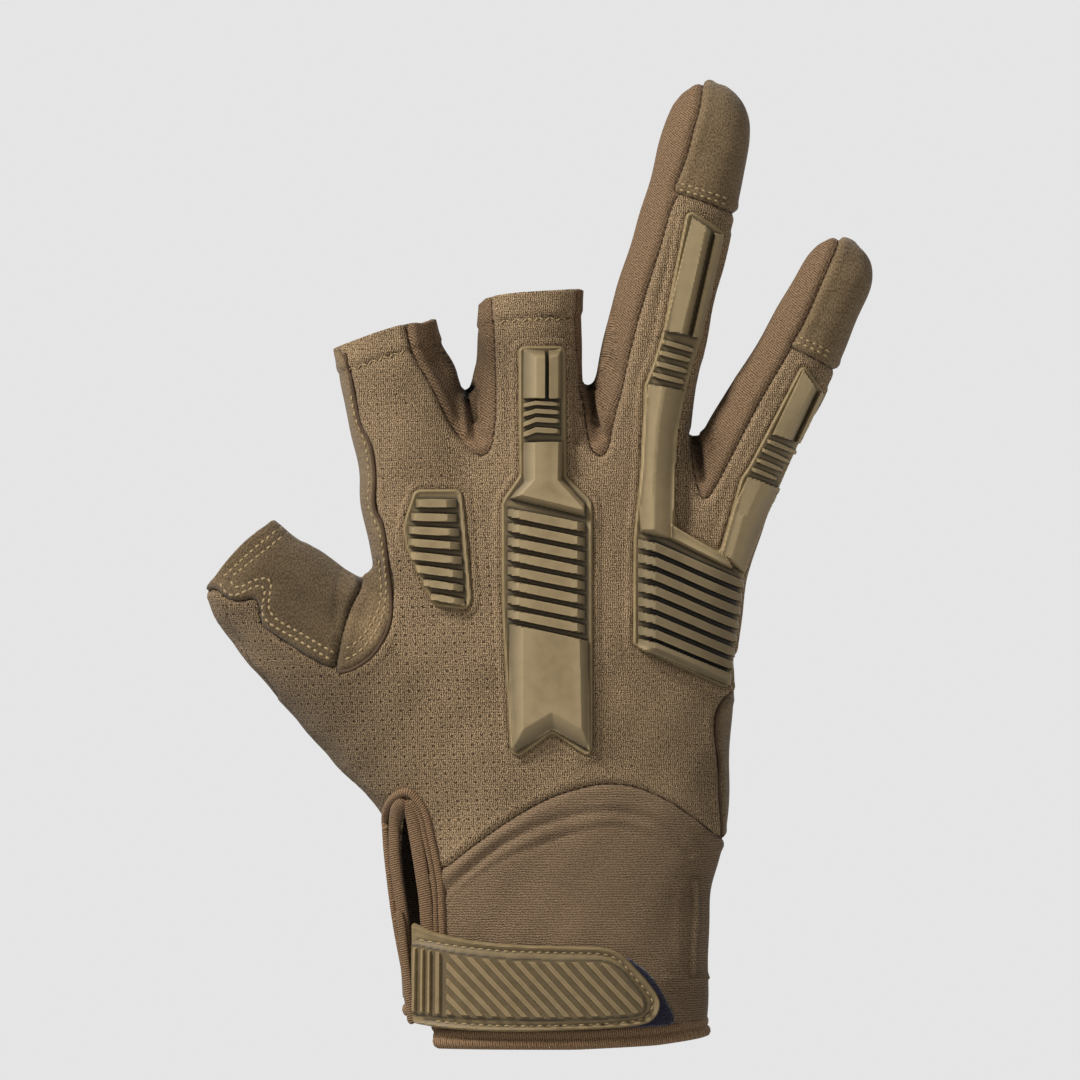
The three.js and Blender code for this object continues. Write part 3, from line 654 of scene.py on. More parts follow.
OUTER_BLOCKS_PX = [
    ([(692, 216), (711, 230), (687, 336), (663, 332)], (STEEP, (1.7, 0.4), STEEP, (4.2, 0.65)), 2.7),
    ([(713.5, 232), (723, 234), (698, 339), (689.5, 337)], (STEEP, (1.2, 0.3), STEEP, STEEP), 1.9),
    ([(648, 384), (683, 390), (676.5, 430), (641, 430)], (STEEP, (4.9, 0.5), NONE, (3.3, 0.6)), 2.8),
    ([(641.5, 426), (677, 426), (673, 480), (638, 480)], (NONE, (4.9, 0.5), NONE, (3.3, 0.6)), 2.8),
    ([(638, 476), (673.5, 476), (672, 541), (639.5, 533)], (NONE, (4.9, 0.5), 1.6, (3.3, 0.6)), 2.8),
    ([(670, 524), (724, 556), (734, 572), (670, 541)], (STEEP, NONE, 0.9, NONE), 2.2),
    ([(803, 369), (816, 389), (791, 441), (771, 435)], (STEEP, (1.5, 0.4), STEEP, (3.6, 0.65)), 2.6),
    ([(818, 390), (825, 392), (800, 443), (793.5, 441)], (STEEP, (1.0, 0.3), STEEP, STEEP), 1.8),
    ([(747, 476), (779, 487), (757, 530), (731, 512)], (STEEP, (3.4, 0.5), NONE, (3.4, 0.6)), 2.5),
    ([(732, 509), (758, 525), (742, 574), (719, 556)], (NONE, (3.0, 0.5), 1.2, (2.6, 0.6)), 2.5),
]
# Ribs and bars. Columns: x and y of the left end and of the right one, thickness.
INDEX_RIBS_PX = [
    (416, 503.3, 457, 503.8, 9.4), (411.5, 517, 458, 518.5, 8.9), (409, 530, 460, 533, 8.9),
    (409, 542, 461, 546.5, 8.9), (411, 555, 463, 561, 8.9), (416, 568, 464, 575, 8.9),
    (424, 582, 464.5, 588.5, 8.4), (431.5, 596, 465.5, 602.5, 7.9),
]
OUTER_BARS_PX = [
    (661, 342, 693, 351, 6), (658.5, 353, 690, 361, 6), (655.5, 364, 687, 372, 6), (652, 375, 684, 383, 6),
    (766, 441, 796, 452, 5.5), (761, 450, 788, 461, 5.5), (755.5, 460, 782, 470, 5.5),
    (750.5, 469, 776, 479, 5.5),
]
# The bent bars of the middle guard. Columns: y of the left end, y of the bend and the right end, thickness.
MIDDLE_BARS_PX = [(406.4, 403.5, 5.2), (415.6, 411.6, 5.6), (425.6, 420.2, 5.8), (435.8, 430.4, 6.4)]
RIB_COUNT, RIB_PITCH_PX, RIB_THICKNESS_PX, LAST_RIB_THICKNESS_PX = 8, 14.4, 10.2, 13.6
BAR_HEIGHT, RIB_HEIGHT, INDEX_RIB_HEIGHT = 2.0, 2.5, 2.3


def rounded_corners(outline, steps=3):
    """The outline with its corners a little rounded."""
    p = np.asarray(outline, float)

    def cut(neighbour):
        length = np.linalg.norm(neighbour - p, axis=1, keepdims=True)
        return p + (neighbour - p) * np.minimum(0.5, CORNER / length)

    first, last = cut(np.roll(p, 1, axis=0)), cut(np.roll(p, -1, axis=0))
    parts = [(1 - t) ** 2 * first + 2 * t * (1 - t) * p + t**2 * last for t in np.linspace(0, 1, steps)]
    return np.stack(parts, axis=1).reshape(-1, 2)


def rib(x0, y0, x1, y1, thickness, bevels, height):
    """A straight block between two points of the photograph. Bevels: top, right, bottom, left."""
    h = thickness / 2
    return [(x0, y0 - h), (x1, y1 - h), (x1, y1 + h), (x0, y0 + h)], bevels, height


def index_blocks():
    return [rib(*row, (STEEP, 2.6, STEEP, 1.4), INDEX_RIB_HEIGHT) for row in INDEX_RIBS_PX]


def middle_blocks():
    blocks = list(MIDDLE_BLOCKS_PX)
    for left, bend, thickness in MIDDLE_BARS_PX:
        blocks.append(rib(523, left, 536, bend, thickness, (STEEP, NONE, STEEP, 0.6), BAR_HEIGHT))
        blocks.append(rib(535, bend, 560, bend + 1.6, thickness, (STEEP, 1.0, STEEP, NONE), BAR_HEIGHT))
    for i in range(RIB_COUNT):
        y = 512.4 + RIB_PITCH_PX * i
        blocks.append(rib(507, y, 585, y + 15.8, RIB_THICKNESS_PX, (STEEP, 2.0, STEEP, 3.0), RIB_HEIGHT))
    return blocks


def outer_blocks():
    blocks = list(OUTER_BLOCKS_PX)
    blocks += [rib(*row, (STEEP, 0.9, STEEP, 0.6), BAR_HEIGHT) for row in OUTER_BARS_PX]
    for i in range(RIB_COUNT):
        y = 543.2 + RIB_PITCH_PX * i
        last = i == RIB_COUNT - 1
        bottom = 1.8 if last else STEEP
        thickness = LAST_RIB_THICKNESS_PX if last else RIB_THICKNESS_PX
        right = (742 - 1.8 * i, y + 41.6 - 0.8 * i)
        blocks.append(rib(637, y, 656, y + 4.6, thickness, (STEEP, NONE, bottom, 4.2), RIB_HEIGHT))
        blocks.append(rib(655, y + 4.2, *right, thickness, (STEEP, 0.9, bottom, NONE), RIB_HEIGHT))
    return blocks


def block_rise(points, blocks):
    """Two values a point: how far up the nearest block's bevel it lies, 0 at the foot and 1 at the top, and
    that block's height."""
    q = points[:, [0, -1]]
    best = np.full(len(q), -3.0)
    height = np.zeros(len(q))
    for outline_px, bevels, tall in blocks:
        p = np.array(from_photo(outline_px))
        near = within(q, p, 2)
        s = q[near]
        turn = np.sign(np.sum(p[:, 0] * np.roll(p[:, 1], -1) - np.roll(p[:, 0], -1) * p[:, 1]))
        rise = np.full(len(s), 60.0)
        for a, b, bevel in zip(p, np.roll(p, -1, axis=0), bevels):
            along = (b - a) / np.linalg.norm(b - a)
            inward = turn * ((s[:, 1] - a[1]) * along[0] - (s[:, 0] - a[0]) * along[1])
            if bevel == NONE:
                rise = np.minimum(rise, np.where(inward >= 0, 60, inward / STEEP))
                continue
            width, shoulder = bevel if isinstance(bevel, tuple) else (bevel, SHOULDER)
            rise = np.minimum(rise, inward / STEEP)
            if width > STEEP:
                rise = np.minimum(rise, shoulder + (1 - shoulder) * inward / width)
        better = rise > best[near]
        best[near] = np.where(better, rise, best[near])
        height[near] = np.where(better, tall, height[near])
    return best, height


# Objects


def add_object(name, points, faces, weave=None, edge=None, shade=None, crease=None):
    """A mesh object from points in millimetres.

    weave holds each point's place on the cloth. edge is its distance to a seam, or on rubber how strongly a
    highlight is painted on it. shade is the painted shade and light that make it darker or lighter, and
    crease the angle in degrees from which edges are sharp.
    """
    mesh = bpy.data.meshes.new(name)
    mesh.from_pydata((np.asarray(points) * MM).tolist(), [], [list(map(int, f)) for f in faces])
    mesh.update()
    mesh.shade_smooth()
    if crease:
        mesh.set_sharp_from_angle(angle=math.radians(crease))
    if weave is not None:
        flat = np.zeros((len(points), 3), np.float32)
        flat[:, :2] = weave
        mesh.attributes.new("weave", "FLOAT_VECTOR", "POINT").data.foreach_set("vector", flat.ravel())
    for key, value in (("edge", edge), ("shade", shade)):
        if value is not None:
            attribute = mesh.attributes.new(key, "FLOAT", "POINT")
            attribute.data.foreach_set("value", np.asarray(value, np.float32))
    obj = bpy.data.objects.new(name, mesh)
    bpy.context.scene.collection.objects.link(obj)
    return obj


def finish_piece(obj, material, slot, *nodes):
    obj.data.materials.append(material)
    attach(obj, "root")
    if nodes:
        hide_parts(*nodes)


def weave_of(points):
    """A place on the cloth for each point: x and z, with x stretched where the cloth turns to the side."""
    x, y, z = points.T
    centre, crown = np.zeros(len(points)), np.zeros(len(points))
    best = np.full(len(points), np.inf)
    for _, rows in LIMBS.values():
        row_x, row_z, width, half_depth = np.array(rows).T
        d = path_distance(points[:, [0, 2]], np.stack([row_x, row_z], axis=1)) / width.max()
        cx = np.interp(z, row_z, row_x)
        depth = np.interp(z, row_z, half_depth)
        nearer = d < best
        best[nearer] = d[nearer]
        centre[nearer] = cx[nearer]
        crown[nearer] = (mid_depth(cx, z) - depth)[nearer]
    a = x - centre
    middle = mid_depth(x, z)
    drop = np.maximum(0, np.where(y < middle, y - crown, 2 * middle - crown - y))
    return np.stack([x + np.sign(a) * (np.hypot(a, drop) - np.abs(a)), z], axis=1)


# Materials. Colours are sRGB bytes: the dark and the light end of each one's tones


SEAM_DASH = 2.1  # spacing of the darker places along a seam
SEAM_TINT = (0.62, 0.52, 0.42)  # a seam's colour as a share of the cloth's dark one


def linear(rgb):
    c = np.array(rgb, float) / 255
    c = np.where(c <= 0.04045, c / 12.92, ((c + 0.055) / 1.055) ** 2.4)
    return (*np.clip(c, 0, 1).tolist(), 1.0)


class Look:
    """One material, with short ways to add and link its nodes."""

    def __init__(self, name, roughness=0.85, specular=0.25, sheen=0.0):
        self.material = bpy.data.materials.new(name)
        self.material.use_nodes = True
        self.tree = self.material.node_tree
        self.shader = self.tree.nodes["Principled BSDF"]
        self.shader.inputs["Roughness"].default_value = roughness
        self.shader.inputs["Specular IOR Level"].default_value = specular
        self.shader.inputs["Sheen Weight"].default_value = sheen
        self.shader.inputs["Sheen Roughness"].default_value = 0.5

    def add(self, kind, links, output=0, **settings):
        node = self.tree.nodes.new(kind)
        for key, value in settings.items():
            setattr(node, key, value)
        for key, value in links.items():
            if isinstance(value, bpy.types.NodeSocket):
                self.tree.links.new(value, node.inputs[key])
            else:
                node.inputs[key].default_value = value
        return node.outputs[output]

    def math(self, operation, *values, clamp=False):
        return self.add("ShaderNodeMath", dict(enumerate(values)), operation=operation, use_clamp=clamp)

    def plus(self, *values):
        total = values[0]
        for value in values[1:]:
            total = self.math("ADD", total, value)
        return total

    def times(self, a, b):
        return self.math("MULTIPLY", a, b)

    def ramp(self, value, low, high, out_low=0.0, out_high=1.0):
        links = {"Value": value, "From Min": low, "From Max": high, "To Min": out_low, "To Max": out_high}
        return self.add("ShaderNodeMapRange", links, interpolation_type="SMOOTHSTEP")

    def wave(self, value, pitch):
        """A triangle wave that is 0 at each multiple of the pitch and 1 halfway between."""
        return self.times(self.math("PINGPONG", self.math("DIVIDE", value, pitch), 0.5), 2.0)

    def mix(self, factor, a, b):
        node = self.tree.nodes.new("ShaderNodeMix")
        node.data_type = "RGBA"
        for key, value in (("Factor", factor), ("A", a), ("B", b)):
            socket = next(s for s in node.inputs if s.name == key and s.enabled)
            if isinstance(value, bpy.types.NodeSocket):
                self.tree.links.new(value, socket)
            else:
                socket.default_value = value
        return next(s for s in node.outputs if s.enabled)

    def noise(self, vector, scale, detail=2.0, stretch=(1, 1, 1)):
        if stretch != (1, 1, 1):
            vector = self.add("ShaderNodeVectorMath", {0: vector, 1: stretch}, operation="MULTIPLY")
        return self.add("ShaderNodeTexNoise", {"Vector": vector, "Scale": scale, "Detail": detail})

    def weave(self):
        vector = self.add("ShaderNodeAttribute", {}, 1, attribute_name="weave")
        node = self.tree.nodes.new("ShaderNodeSeparateXYZ")
        self.tree.links.new(vector, node.inputs[0])
        return vector, node.outputs[0], node.outputs[1]

    def edge(self):
        return self.add("ShaderNodeAttribute", {}, 2, attribute_name="edge")

    def between(self, tone, dark, light):
        return self.mix(self.math("ADD", tone, 0.0, clamp=True), linear(dark), linear(light))

    def dyed(self, tone, dark, light):
        """The cloth's colour for a tone from 0 to 1, darker in its seams and scaled by the painted shade and
        light.
        """
        _, u, v = self.weave()
        dash = self.ramp(self.wave(self.plus(u, v), SEAM_DASH), 0.2, 0.6, 0.4, 1)
        seam = self.times(self.times(self.ramp(self.edge(), 0.4, 0.1), dash), 0.8)
        in_seam = linear(np.array(dark) * SEAM_TINT)
        return self.shaded(self.mix(seam, self.between(tone, dark, light), in_seam))

    def shaded(self, colour):
        # scales the colour by the painted shade and light held in the shade attribute
        shade = self.add("ShaderNodeAttribute", {}, 2, attribute_name="shade")
        return self.add("ShaderNodeVectorMath", {0: colour, 3: self.plus(shade, 1.0)}, operation="SCALE")

    def finish(self, colour, height, depth, roughness=None):
        """depth is how tall the bump is, in millimetres."""
        self.tree.links.new(colour, self.shader.inputs["Base Color"])
        normal = self.add("ShaderNodeBump", {"Height": height, "Distance": depth * MM, "Strength": 1.0})
        self.tree.links.new(normal, self.shader.inputs["Normal"])
        if roughness is not None:
            self.tree.links.new(roughness, self.shader.inputs["Roughness"])
        return self.material


def knit_look(name, dark, light, rib, rows, contrast, depth, holes=None):
    """A knit of mottled yarn.

    rib and rows: the spacing of its wales across and its loops along, and how far each shows. holes: the
    spacing of its dimples across and along, and their radius.
    """
    look = Look(name, roughness=0.9, specular=0.12, sheen=0.04)
    vector, u, v = look.weave()
    (rib_pitch, rib_show), (row_pitch, row_show) = rib, rows
    wander = look.times(look.noise(vector, 0.3, 2.0), 0.9)
    swing = look.times(look.math("SINE", look.times(v, math.pi / row_pitch)), 0.12 * rib_pitch)
    wales = look.wave(look.plus(u, swing, wander), rib_pitch)
    loops = look.wave(look.plus(v, wander, look.times(wales, 0.3 * row_pitch)), row_pitch)
    body = look.plus(look.times(wales, rib_show), look.times(loops, row_show))
    speck = look.noise(vector, 3.6, 3.0, (1.2, 1.0, 1))
    fleck = look.noise(vector, 1.3, 2.0, (1.7, 0.8, 1))
    patch = look.noise(vector, 0.05, 2.0)
    height = look.plus(body, look.times(speck, 0.7))
    tone = look.plus(look.ramp(speck, 0.38, 0.62, -0.3, 0.34), look.times(body, 0.75), -0.24)
    fleck_tone, patch_tone = look.ramp(fleck, 0.34, 0.66, -0.1, 0.1), look.ramp(patch, 0.3, 0.7, -0.05, 0.05)
    tone = look.plus(tone, fleck_tone, patch_tone)
    tone = look.plus(look.times(tone, contrast), 0.35)
    if holes:
        pitch_u, pitch_v, radius = holes
        leaning = (look.plus(u, look.times(v, 0.08)), pitch_u), (look.plus(v, look.times(u, -0.04)), pitch_v)
        hu, hv = (
            look.times(look.math("PINGPONG", look.math("DIVIDE", place, pitch), 0.5), pitch)
            for place, pitch in leaning
        )
        far = look.math("SQRT", look.plus(look.times(hu, hu), look.times(look.times(hv, hv), 1.4)))
        clear = look.times(look.ramp(u, -22, 8, 1, 0.35), look.ramp(v, 110, 150, 1, 0.55))
        hole = look.times(look.ramp(far, radius * 1.5, radius * 0.55), clear)
        ring = look.times(look.ramp(far, radius * 3.2, radius * 1.6), clear)
        height = look.plus(height, look.times(hole, -0.7))
        tone = look.plus(tone, look.times(ring, 0.12), look.times(hole, -0.5))
    return look.finish(look.dyed(tone, dark, light), height, depth)


def suede_look(name, dark, light, grain):
    look = Look(name, roughness=0.95, specular=0.1, sheen=0.12)
    vector = look.weave()[0]
    nap = look.noise(vector, grain, 4.0, (1.3, 0.8, 1))
    fine = look.noise(vector, grain * 3.2, 2.0)
    brushed = look.noise(vector, 0.14, 3.0, (1, 1.6, 1))
    tone = look.plus(look.ramp(nap, 0.34, 0.66, -0.08, 0.55), look.ramp(brushed, 0.35, 0.65, 0.08, 0.2))
    tone = look.plus(tone, look.ramp(fine, 0.35, 0.65, -0.25, 0.45))
    return look.finish(look.dyed(tone, dark, light), look.plus(nap, look.times(fine, 0.8)), 0.2)


def twill_look(name, dark, light, pitch):
    look = Look(name, roughness=0.95, specular=0.04, sheen=0.02)
    vector, u, v = look.weave()
    wander = look.times(look.noise(vector, 0.25, 2.0), 0.8)
    line = look.wave(look.plus(look.times(v, 0.8), look.times(u, 0.6), wander), pitch)
    cross = look.wave(look.plus(look.times(v, -0.4), u), pitch * 1.3)
    speck = look.ramp(look.noise(vector, 2.2, 2.0), 0.35, 0.65, -0.12, 0.3)
    tone = look.plus(look.times(line, 0.62), look.times(cross, 0.15), speck)
    return look.finish(look.dyed(tone, dark, light), look.plus(line, look.times(cross, 0.4)), 0.14)


def tape_look(name, dark, light, pitch):
    look = Look(name, roughness=0.85, specular=0.15, sheen=0.05)
    vector, u, v = look.weave()
    rib = look.wave(look.plus(u, look.times(v, 0.12)), pitch)
    speck = look.noise(vector, 2.4, 2.0)
    tone = look.plus(look.times(rib, 0.7), look.ramp(speck, 0.3, 0.7, 0, 0.35))
    colour = look.shaded(look.between(tone, dark, light))
    return look.finish(colour, look.plus(rib, look.times(speck, 0.3)), 0.2)


def rubber_look(name, dark, light):
    """Moulded rubber: matt, faintly mottled, and paler where a highlight is painted along its edges."""
    look = Look(name, roughness=0.55, specular=0.35)
    vector = look.weave()[0]
    mottle = look.noise(vector, 0.35, 3.0)
    fine = look.noise(vector, 3.0, 2.0)
    painted_highlight = look.times(look.edge(), 0.5)
    tone = look.plus(look.ramp(mottle, 0.3, 0.7, 0.2, 0.5), look.times(fine, 0.25), painted_highlight)
    colour = look.shaded(look.between(tone, dark, light))
    return look.finish(colour, fine, 0.03, look.ramp(mottle, 0.3, 0.7, 0.56, 0.7))


def thread_look(name, dark, light):
    look = Look(name, roughness=0.7, specular=0.25)
    _, u, v = look.weave()
    twist = look.wave(look.plus(u, look.times(v, 0.7)), 0.45)
    return look.finish(look.mix(twist, linear(dark), linear(light)), twist, 0.06)


def loop_look(name, dark, light):
    look = Look(name, roughness=0.9, specular=0.15, sheen=0.3)
    tuft = look.noise(look.weave()[0], 1.9, 4.0)
    return look.finish(look.mix(look.ramp(tuft, 0.35, 0.65), linear(dark), linear(light)), tuft, 0.4)


LOOKS = {
    "knit": knit_look(
        "knit_yarn", (38, 26, 14), (172, 145, 111), rib=(0.54, 0.6), rows=(0.62, 0.22),
        holes=(2.45, 2.32, 0.38), contrast=1.3, depth=0.2,
    ),
    "suede": suede_look("suede_nap", (72, 56, 36), (140, 118, 88), grain=2.1),
    "stretch": twill_look("stretch_twill", (60, 44, 30), (148, 121, 93), pitch=0.54),
    "cuff_knit": knit_look(
        "cuff_rib", (56, 42, 28), (152, 127, 99), rib=(0.9, 0.1), rows=(0.62, 0.9), contrast=0.85, depth=0.14,
    ),
    "tape": tape_look("binding_tape", (64, 42, 26), (152, 122, 90), pitch=0.56),
    "rubber": rubber_look("guard_rubber_tan", (116, 98, 66), (144, 125, 91)),
    "strap": rubber_look("strap_rubber_tan", (102, 85, 55), (138, 118, 84)),
    "thread": thread_look("sewing_thread", (122, 102, 70), (180, 156, 116)),
    "dark thread": thread_look("piping_thread", (44, 31, 20), (98, 76, 54)),
    "loop": loop_look("loop_navy", (15, 14, 25), (38, 36, 56)),
}


# The cloth panels


def corners_cut(outline, times=2):
    """The outline with each corner cut off, as often as times says."""
    p = np.asarray(outline, float)
    for _ in range(times):
        after = np.roll(p, -1, axis=0)
        p = np.stack([0.75 * p + 0.25 * after, 0.25 * p + 0.75 * after], axis=1).reshape(-1, 2)
    return p


HEMS = {"index hem": INDEX_HEM, "middle hem": MIDDLE_HEM, "thumb hem": THUMB_HEM}
SEAMS = {
    "cuff": CUFF, "index middle": FOURCHETTE_INDEX_MIDDLE, "middle ring": FOURCHETTE_MIDDLE_RING,
    "ring pinky": FOURCHETTE_RING_PINKY, "ring cap": CAP_RING, "pinky cap": CAP_PINKY,
    "index wrap": INDEX_WRAP, "edge wrap": EDGE_WRAP, "thumb patch": THUMB_PATCH,
}


def hem_low(x, y):
    """The height of the hem's lower edge at a place round the wrist."""
    palm = smoothstep(y - mid_depth(x, np.zeros_like(x)), -3, 3)
    low, low_palm = (np.interp(x, *zip(*table)) for table in (HEM_LOW, HEM_LOW_PALM))
    return low + (low_palm - low) * palm


def wrist_distance(points):
    return points[:, 2] - hem_low(points[:, 0], points[:, 1]) - HEM_HEIGHT


def cut_body(field):
    """The body's mesh cut open at the hems and the slit, and cut along every seam."""
    cloth = body_cloth(field)
    p = cloth.points
    cloth.values["side"] = p[:, 1] - mid_depth(p[:, 0], p[:, 2])
    cloth.values["wrist"] = wrist_distance(p)
    for name, outline in {**HEMS, **SEAMS, "slit": SLIT_GAP}.items():
        cloth.values[name] = outline_distance(p, corners_cut(outline))
    for name in ("wrist", *HEMS):
        cloth.split(name)
        cloth = cloth.part(cloth.middle(name) > 0)
    cloth.split("side")
    cloth.split("slit")
    cloth = cloth.part((cloth.middle("slit") > 0) | (cloth.middle("side") > 0))
    for name in SEAMS:
        cloth.split(name)
    return cloth


def panel_masks(cloth):
    """Which triangles each panel has: the first panel of the list that a triangle lies in takes it."""
    inside = {name: cloth.middle(name) < 0 for name in SEAMS}
    front = cloth.middle("side") < 0
    wanted = [
        ("fingertip_cap_ring", inside["ring cap"]),
        ("fingertip_cap_pinky", inside["pinky cap"]),
        ("fourchette_index_middle", inside["index middle"]),
        ("fourchette_middle_ring", inside["middle ring"]),
        ("fourchette_ring_pinky", inside["ring pinky"]),
        ("cuff", inside["cuff"]),
        ("thumb_patch", inside["thumb patch"] & front),
        ("palm_panel", ~front | inside["index wrap"] | inside["edge wrap"]),
        ("back_panel", np.ones(len(front), bool)),
    ]
    taken = np.zeros(len(front), bool)
    masks = {}
    for name, mask in wanted:
        masks[name] = mask & ~taken
        taken |= mask
    return masks


def nearest(points, targets):
    """Distance from each point to the nearest target, at most FAR."""
    out = np.full(len(points), FAR)
    if len(targets) == 0:
        return out
    tree = KDTree(len(targets))
    for i, t in enumerate(targets):
        tree.insert(t, i)
    tree.balance()
    near = within(points, targets, FAR)
    out[near] = [min(FAR, tree.find(p)[2]) for p in points[near]]
    return out


def sewn_distance(q, front):
    """Distance on the back to the nearest line of stitches or covered seam."""
    sewn = np.full(len(q), FAR)
    for line in [*EXTRA_SEAMS_PX, *(row[1] for row in STITCHES_PX)]:
        line = spline(from_photo(line), 4)
        near = front & within(q, line, 3)
        sewn[near] = np.minimum(sewn[near], path_distance(q[near], line))
    return sewn


def cloth_shade(q, front):
    """How much painted shade and painted light darken or lighten the cloth's colour: spots, a painted
    highlight on the cuff's bead with painted shadow beside it, and painted shade in deep folds.
    """
    shade = np.sum(
        [amount * bump(np.linalg.norm(q - (x, z), axis=1), radius) for x, z, radius, amount in PAINTED_LIGHT_AND_SHADE], axis=0
    )
    # painted highlight along the cuff's bead and painted shadow beside it
    bead = path_distance(q, spline(from_photo(CUFF_LINES_PX["side"]), 5))
    shade += front * (0.28 * bump(bead, 0.35) - 0.15 * bump(bead - 1.0, 0.5))
    # painted shade along deep folds
    for row in FOLDS:
        width, height = row[4:]
        if height < DEEP_FOLD:
            d = fold_distance(q, row)[0]
            shade -= front * (0.45 * bump(d, 0.8 * width) + 0.15 * bump(d, 2 * width))
    return shade


def cloth_panels(field, relief):
    cloth = cut_body(field)
    normals = field.normals(cloth.points)
    q = cloth.points[:, [0, 2]]
    front = cloth.values["side"] < 0
    rim = np.zeros(len(q), bool)
    rim[border_edges(cloth.triangles)] = True
    hem = rim & (np.min([np.abs(cloth.values[n]) for n in ("index hem", "middle hem")], axis=0) < ON_HEM)
    cloth.values.update({
        "normal": normals,
        "relief": relief(cloth.points, normals),
        "weave": weave_of(cloth.points),
        "is rim": rim,
        "hem": nearest(cloth.points, cloth.points[hem]),
        "sewn": sewn_distance(q, front),
        "shade": cloth_shade(q, front),
    })
    return cloth, panel_masks(cloth)


ON_HEM = 0.2  # a rim point this near a hem's line lies on it
HEM_WIDTH = 6.0
HEM_RISE, HEM_GROOVE, STITCH_GROOVE, GROOVE_WIDTH = 0.45, 0.4, 0.3, 0.5
DEEP_FOLD = -1.5  # a fold this deep also gets painted shade
# Painted shade on the panels' inner faces, which lie in shadow inside the glove, and a little on their rims.
INSIDE_SHADE, RIM_SHADE = -0.6, -0.1
RIM_SHARES = (0.2, 0.5, 0.8)  # where the rim's rings lie between the outer face and the inner one
RIM_BULGE = 0.45
# Seams on the back with no stitches to see.
EXTRA_SEAMS_PX = [
    [(226, 603), (228, 625), (237, 643), (250, 662), (276, 697)],
    [(404, 324), (409, 338), (411, 352)],
    [(677, 215), (663, 280), (651, 345), (642, 420), (637, 470)],
]
# Painted shade and painted light on the cloth: darker where shade falls, lighter where light falls. Columns:
# x, z, radius, amount.
PAINTED_LIGHT_AND_SHADE = [
    (-64, 114, 16, -0.22), (-52, 104, 9, -0.15), (-61, 88, 24, -0.3), (-25.7, 166, 8, -0.35),
    (-18.2, 174, 8, -0.4), (35, 37, 13, -0.22), (35, 10, 13, -0.22), (36, 74, 12, -0.15),
    (10, 160, 5, -0.14), (-34, 60, 8, -0.1), (38, 62, 14, -0.1), (36.5, 150, 5, -0.3),
    (-21.8, 160, 4, -0.25), (38, 94, 9, -0.1), (11, 172, 7, -0.12), (-44.5, 116.5, 4, -0.2),
    (-47.5, 105.5, 6, 0.72), (-54, 110, 4.5, -0.2), (-70, 118, 14, -0.26), (-21.8, 163.4, 2.2, -0.5),
    (8.6, 165.4, 2.2, -0.35), (-58, 80, 15, -0.16), (-46, 66, 9, -0.1), (-84, 105, 8, -0.16),
]
# How far a panel stands above its neighbours.
RAISED = {"fingertip_cap_ring": 0.3, "fingertip_cap_pinky": 0.25, "thumb_patch": 0.5, "cuff": 0.1}
SLOTS = {
    "palm_panel": "suede", "thumb_patch": "suede", "fingertip_cap_ring": "suede",
    "fingertip_cap_pinky": "suede", "fourchette_index_middle": "stretch", "fourchette_middle_ring": "stretch",
    "fourchette_ring_pinky": "stretch", "cuff": "cuff_knit", "back_panel": "knit",
}


def rounded_rim(cloth, edges, normals, outer, inner):
    """Rings of points and the faces that close the cloth along its open edges, and the vertex that each of
    those points stands for."""
    ids = np.unique(edges)
    count = len(outer)
    place = np.full(count, -1)
    place[ids] = np.arange(len(ids))
    a, b = edges.T
    along = cloth.points[b] - cloth.points[a]
    away = np.zeros_like(outer)
    for end in (a, b):
        np.add.at(away, end, np.cross(along, normals[end]))
    away = unit(away[ids])
    points, levels = [], [(a, b)]
    for i, share in enumerate(RIM_SHARES):
        bulge = RIM_BULGE * math.sin(math.pi * share)
        points.append(outer[ids] * (1 - share) + inner[ids] * share + away * bulge)
        first = 2 * count + i * len(ids)
        levels.append((first + place[a], first + place[b]))
    levels.append((a + count, b + count))
    faces = []
    for (a0, b0), (a1, b1) in zip(levels, levels[1:]):
        faces += [np.stack([b0, a0, a1], 1), np.stack([b0, a1, b1], 1)]
    return points, faces, np.tile(ids, len(RIM_SHARES))


def panel_object(name, cloth):
    """The panel as cloth with a thickness: its outer face, its inner one and a rounded rim between them."""
    triangles, values = cloth.triangles, cloth.values
    border = border_edges(triangles)
    on_border = np.unique(border)
    seam = nearest(cloth.points, cloth.points[on_border[~values["is rim"][on_border]]])
    hem, sewn, normals = values["hem"], values["sewn"], unit(values["normal"])
    out = values["relief"] + seam_relief(seam) + RAISED.get(name, 0) * smoothstep(seam, 0, 0.9)
    out += HEM_RISE * smoothstep(-hem, -HEM_WIDTH - 0.9, -HEM_WIDTH + 0.3)
    out -= HEM_GROOVE * bump(hem - HEM_WIDTH, GROOVE_WIDTH) + STITCH_GROOVE * bump(sewn, GROOVE_WIDTH)
    outer = cloth.points + normals * out[:, None]
    inner = cloth.points - normals * CLOTH
    count = len(outer)
    open_edges = border[values["is rim"][border].all(1)]
    rim_points, rim_faces, rim_ids = rounded_rim(cloth, open_edges, normals, outer, inner)
    index = np.r_[np.arange(count), np.arange(count), rim_ids]
    line = np.minimum(np.minimum(seam, np.abs(hem - HEM_WIDTH) + 0.15), sewn + 0.12)
    shade = np.r_[values["shade"], np.full(count, INSIDE_SHADE), np.full(len(rim_ids), RIM_SHADE)]
    points = np.vstack([outer, inner, *rim_points])
    faces = np.vstack([triangles, triangles[:, ::-1] + count, *rim_faces])
    obj = add_object(name + "_cloth", points, faces, values["weave"][index], line[index], shade)
    finish_piece(obj, LOOKS[SLOTS[name]], SLOTS[name], name)
    return outer, triangles


# Moulded pieces, as heights over the glove's front


def leaning_out(normals, lean):
    """Directions between the way the back of the hand faces, at lean 0, and the normals, at lean 1."""
    return unit(lean * normals + (1 - lean) * BACK)


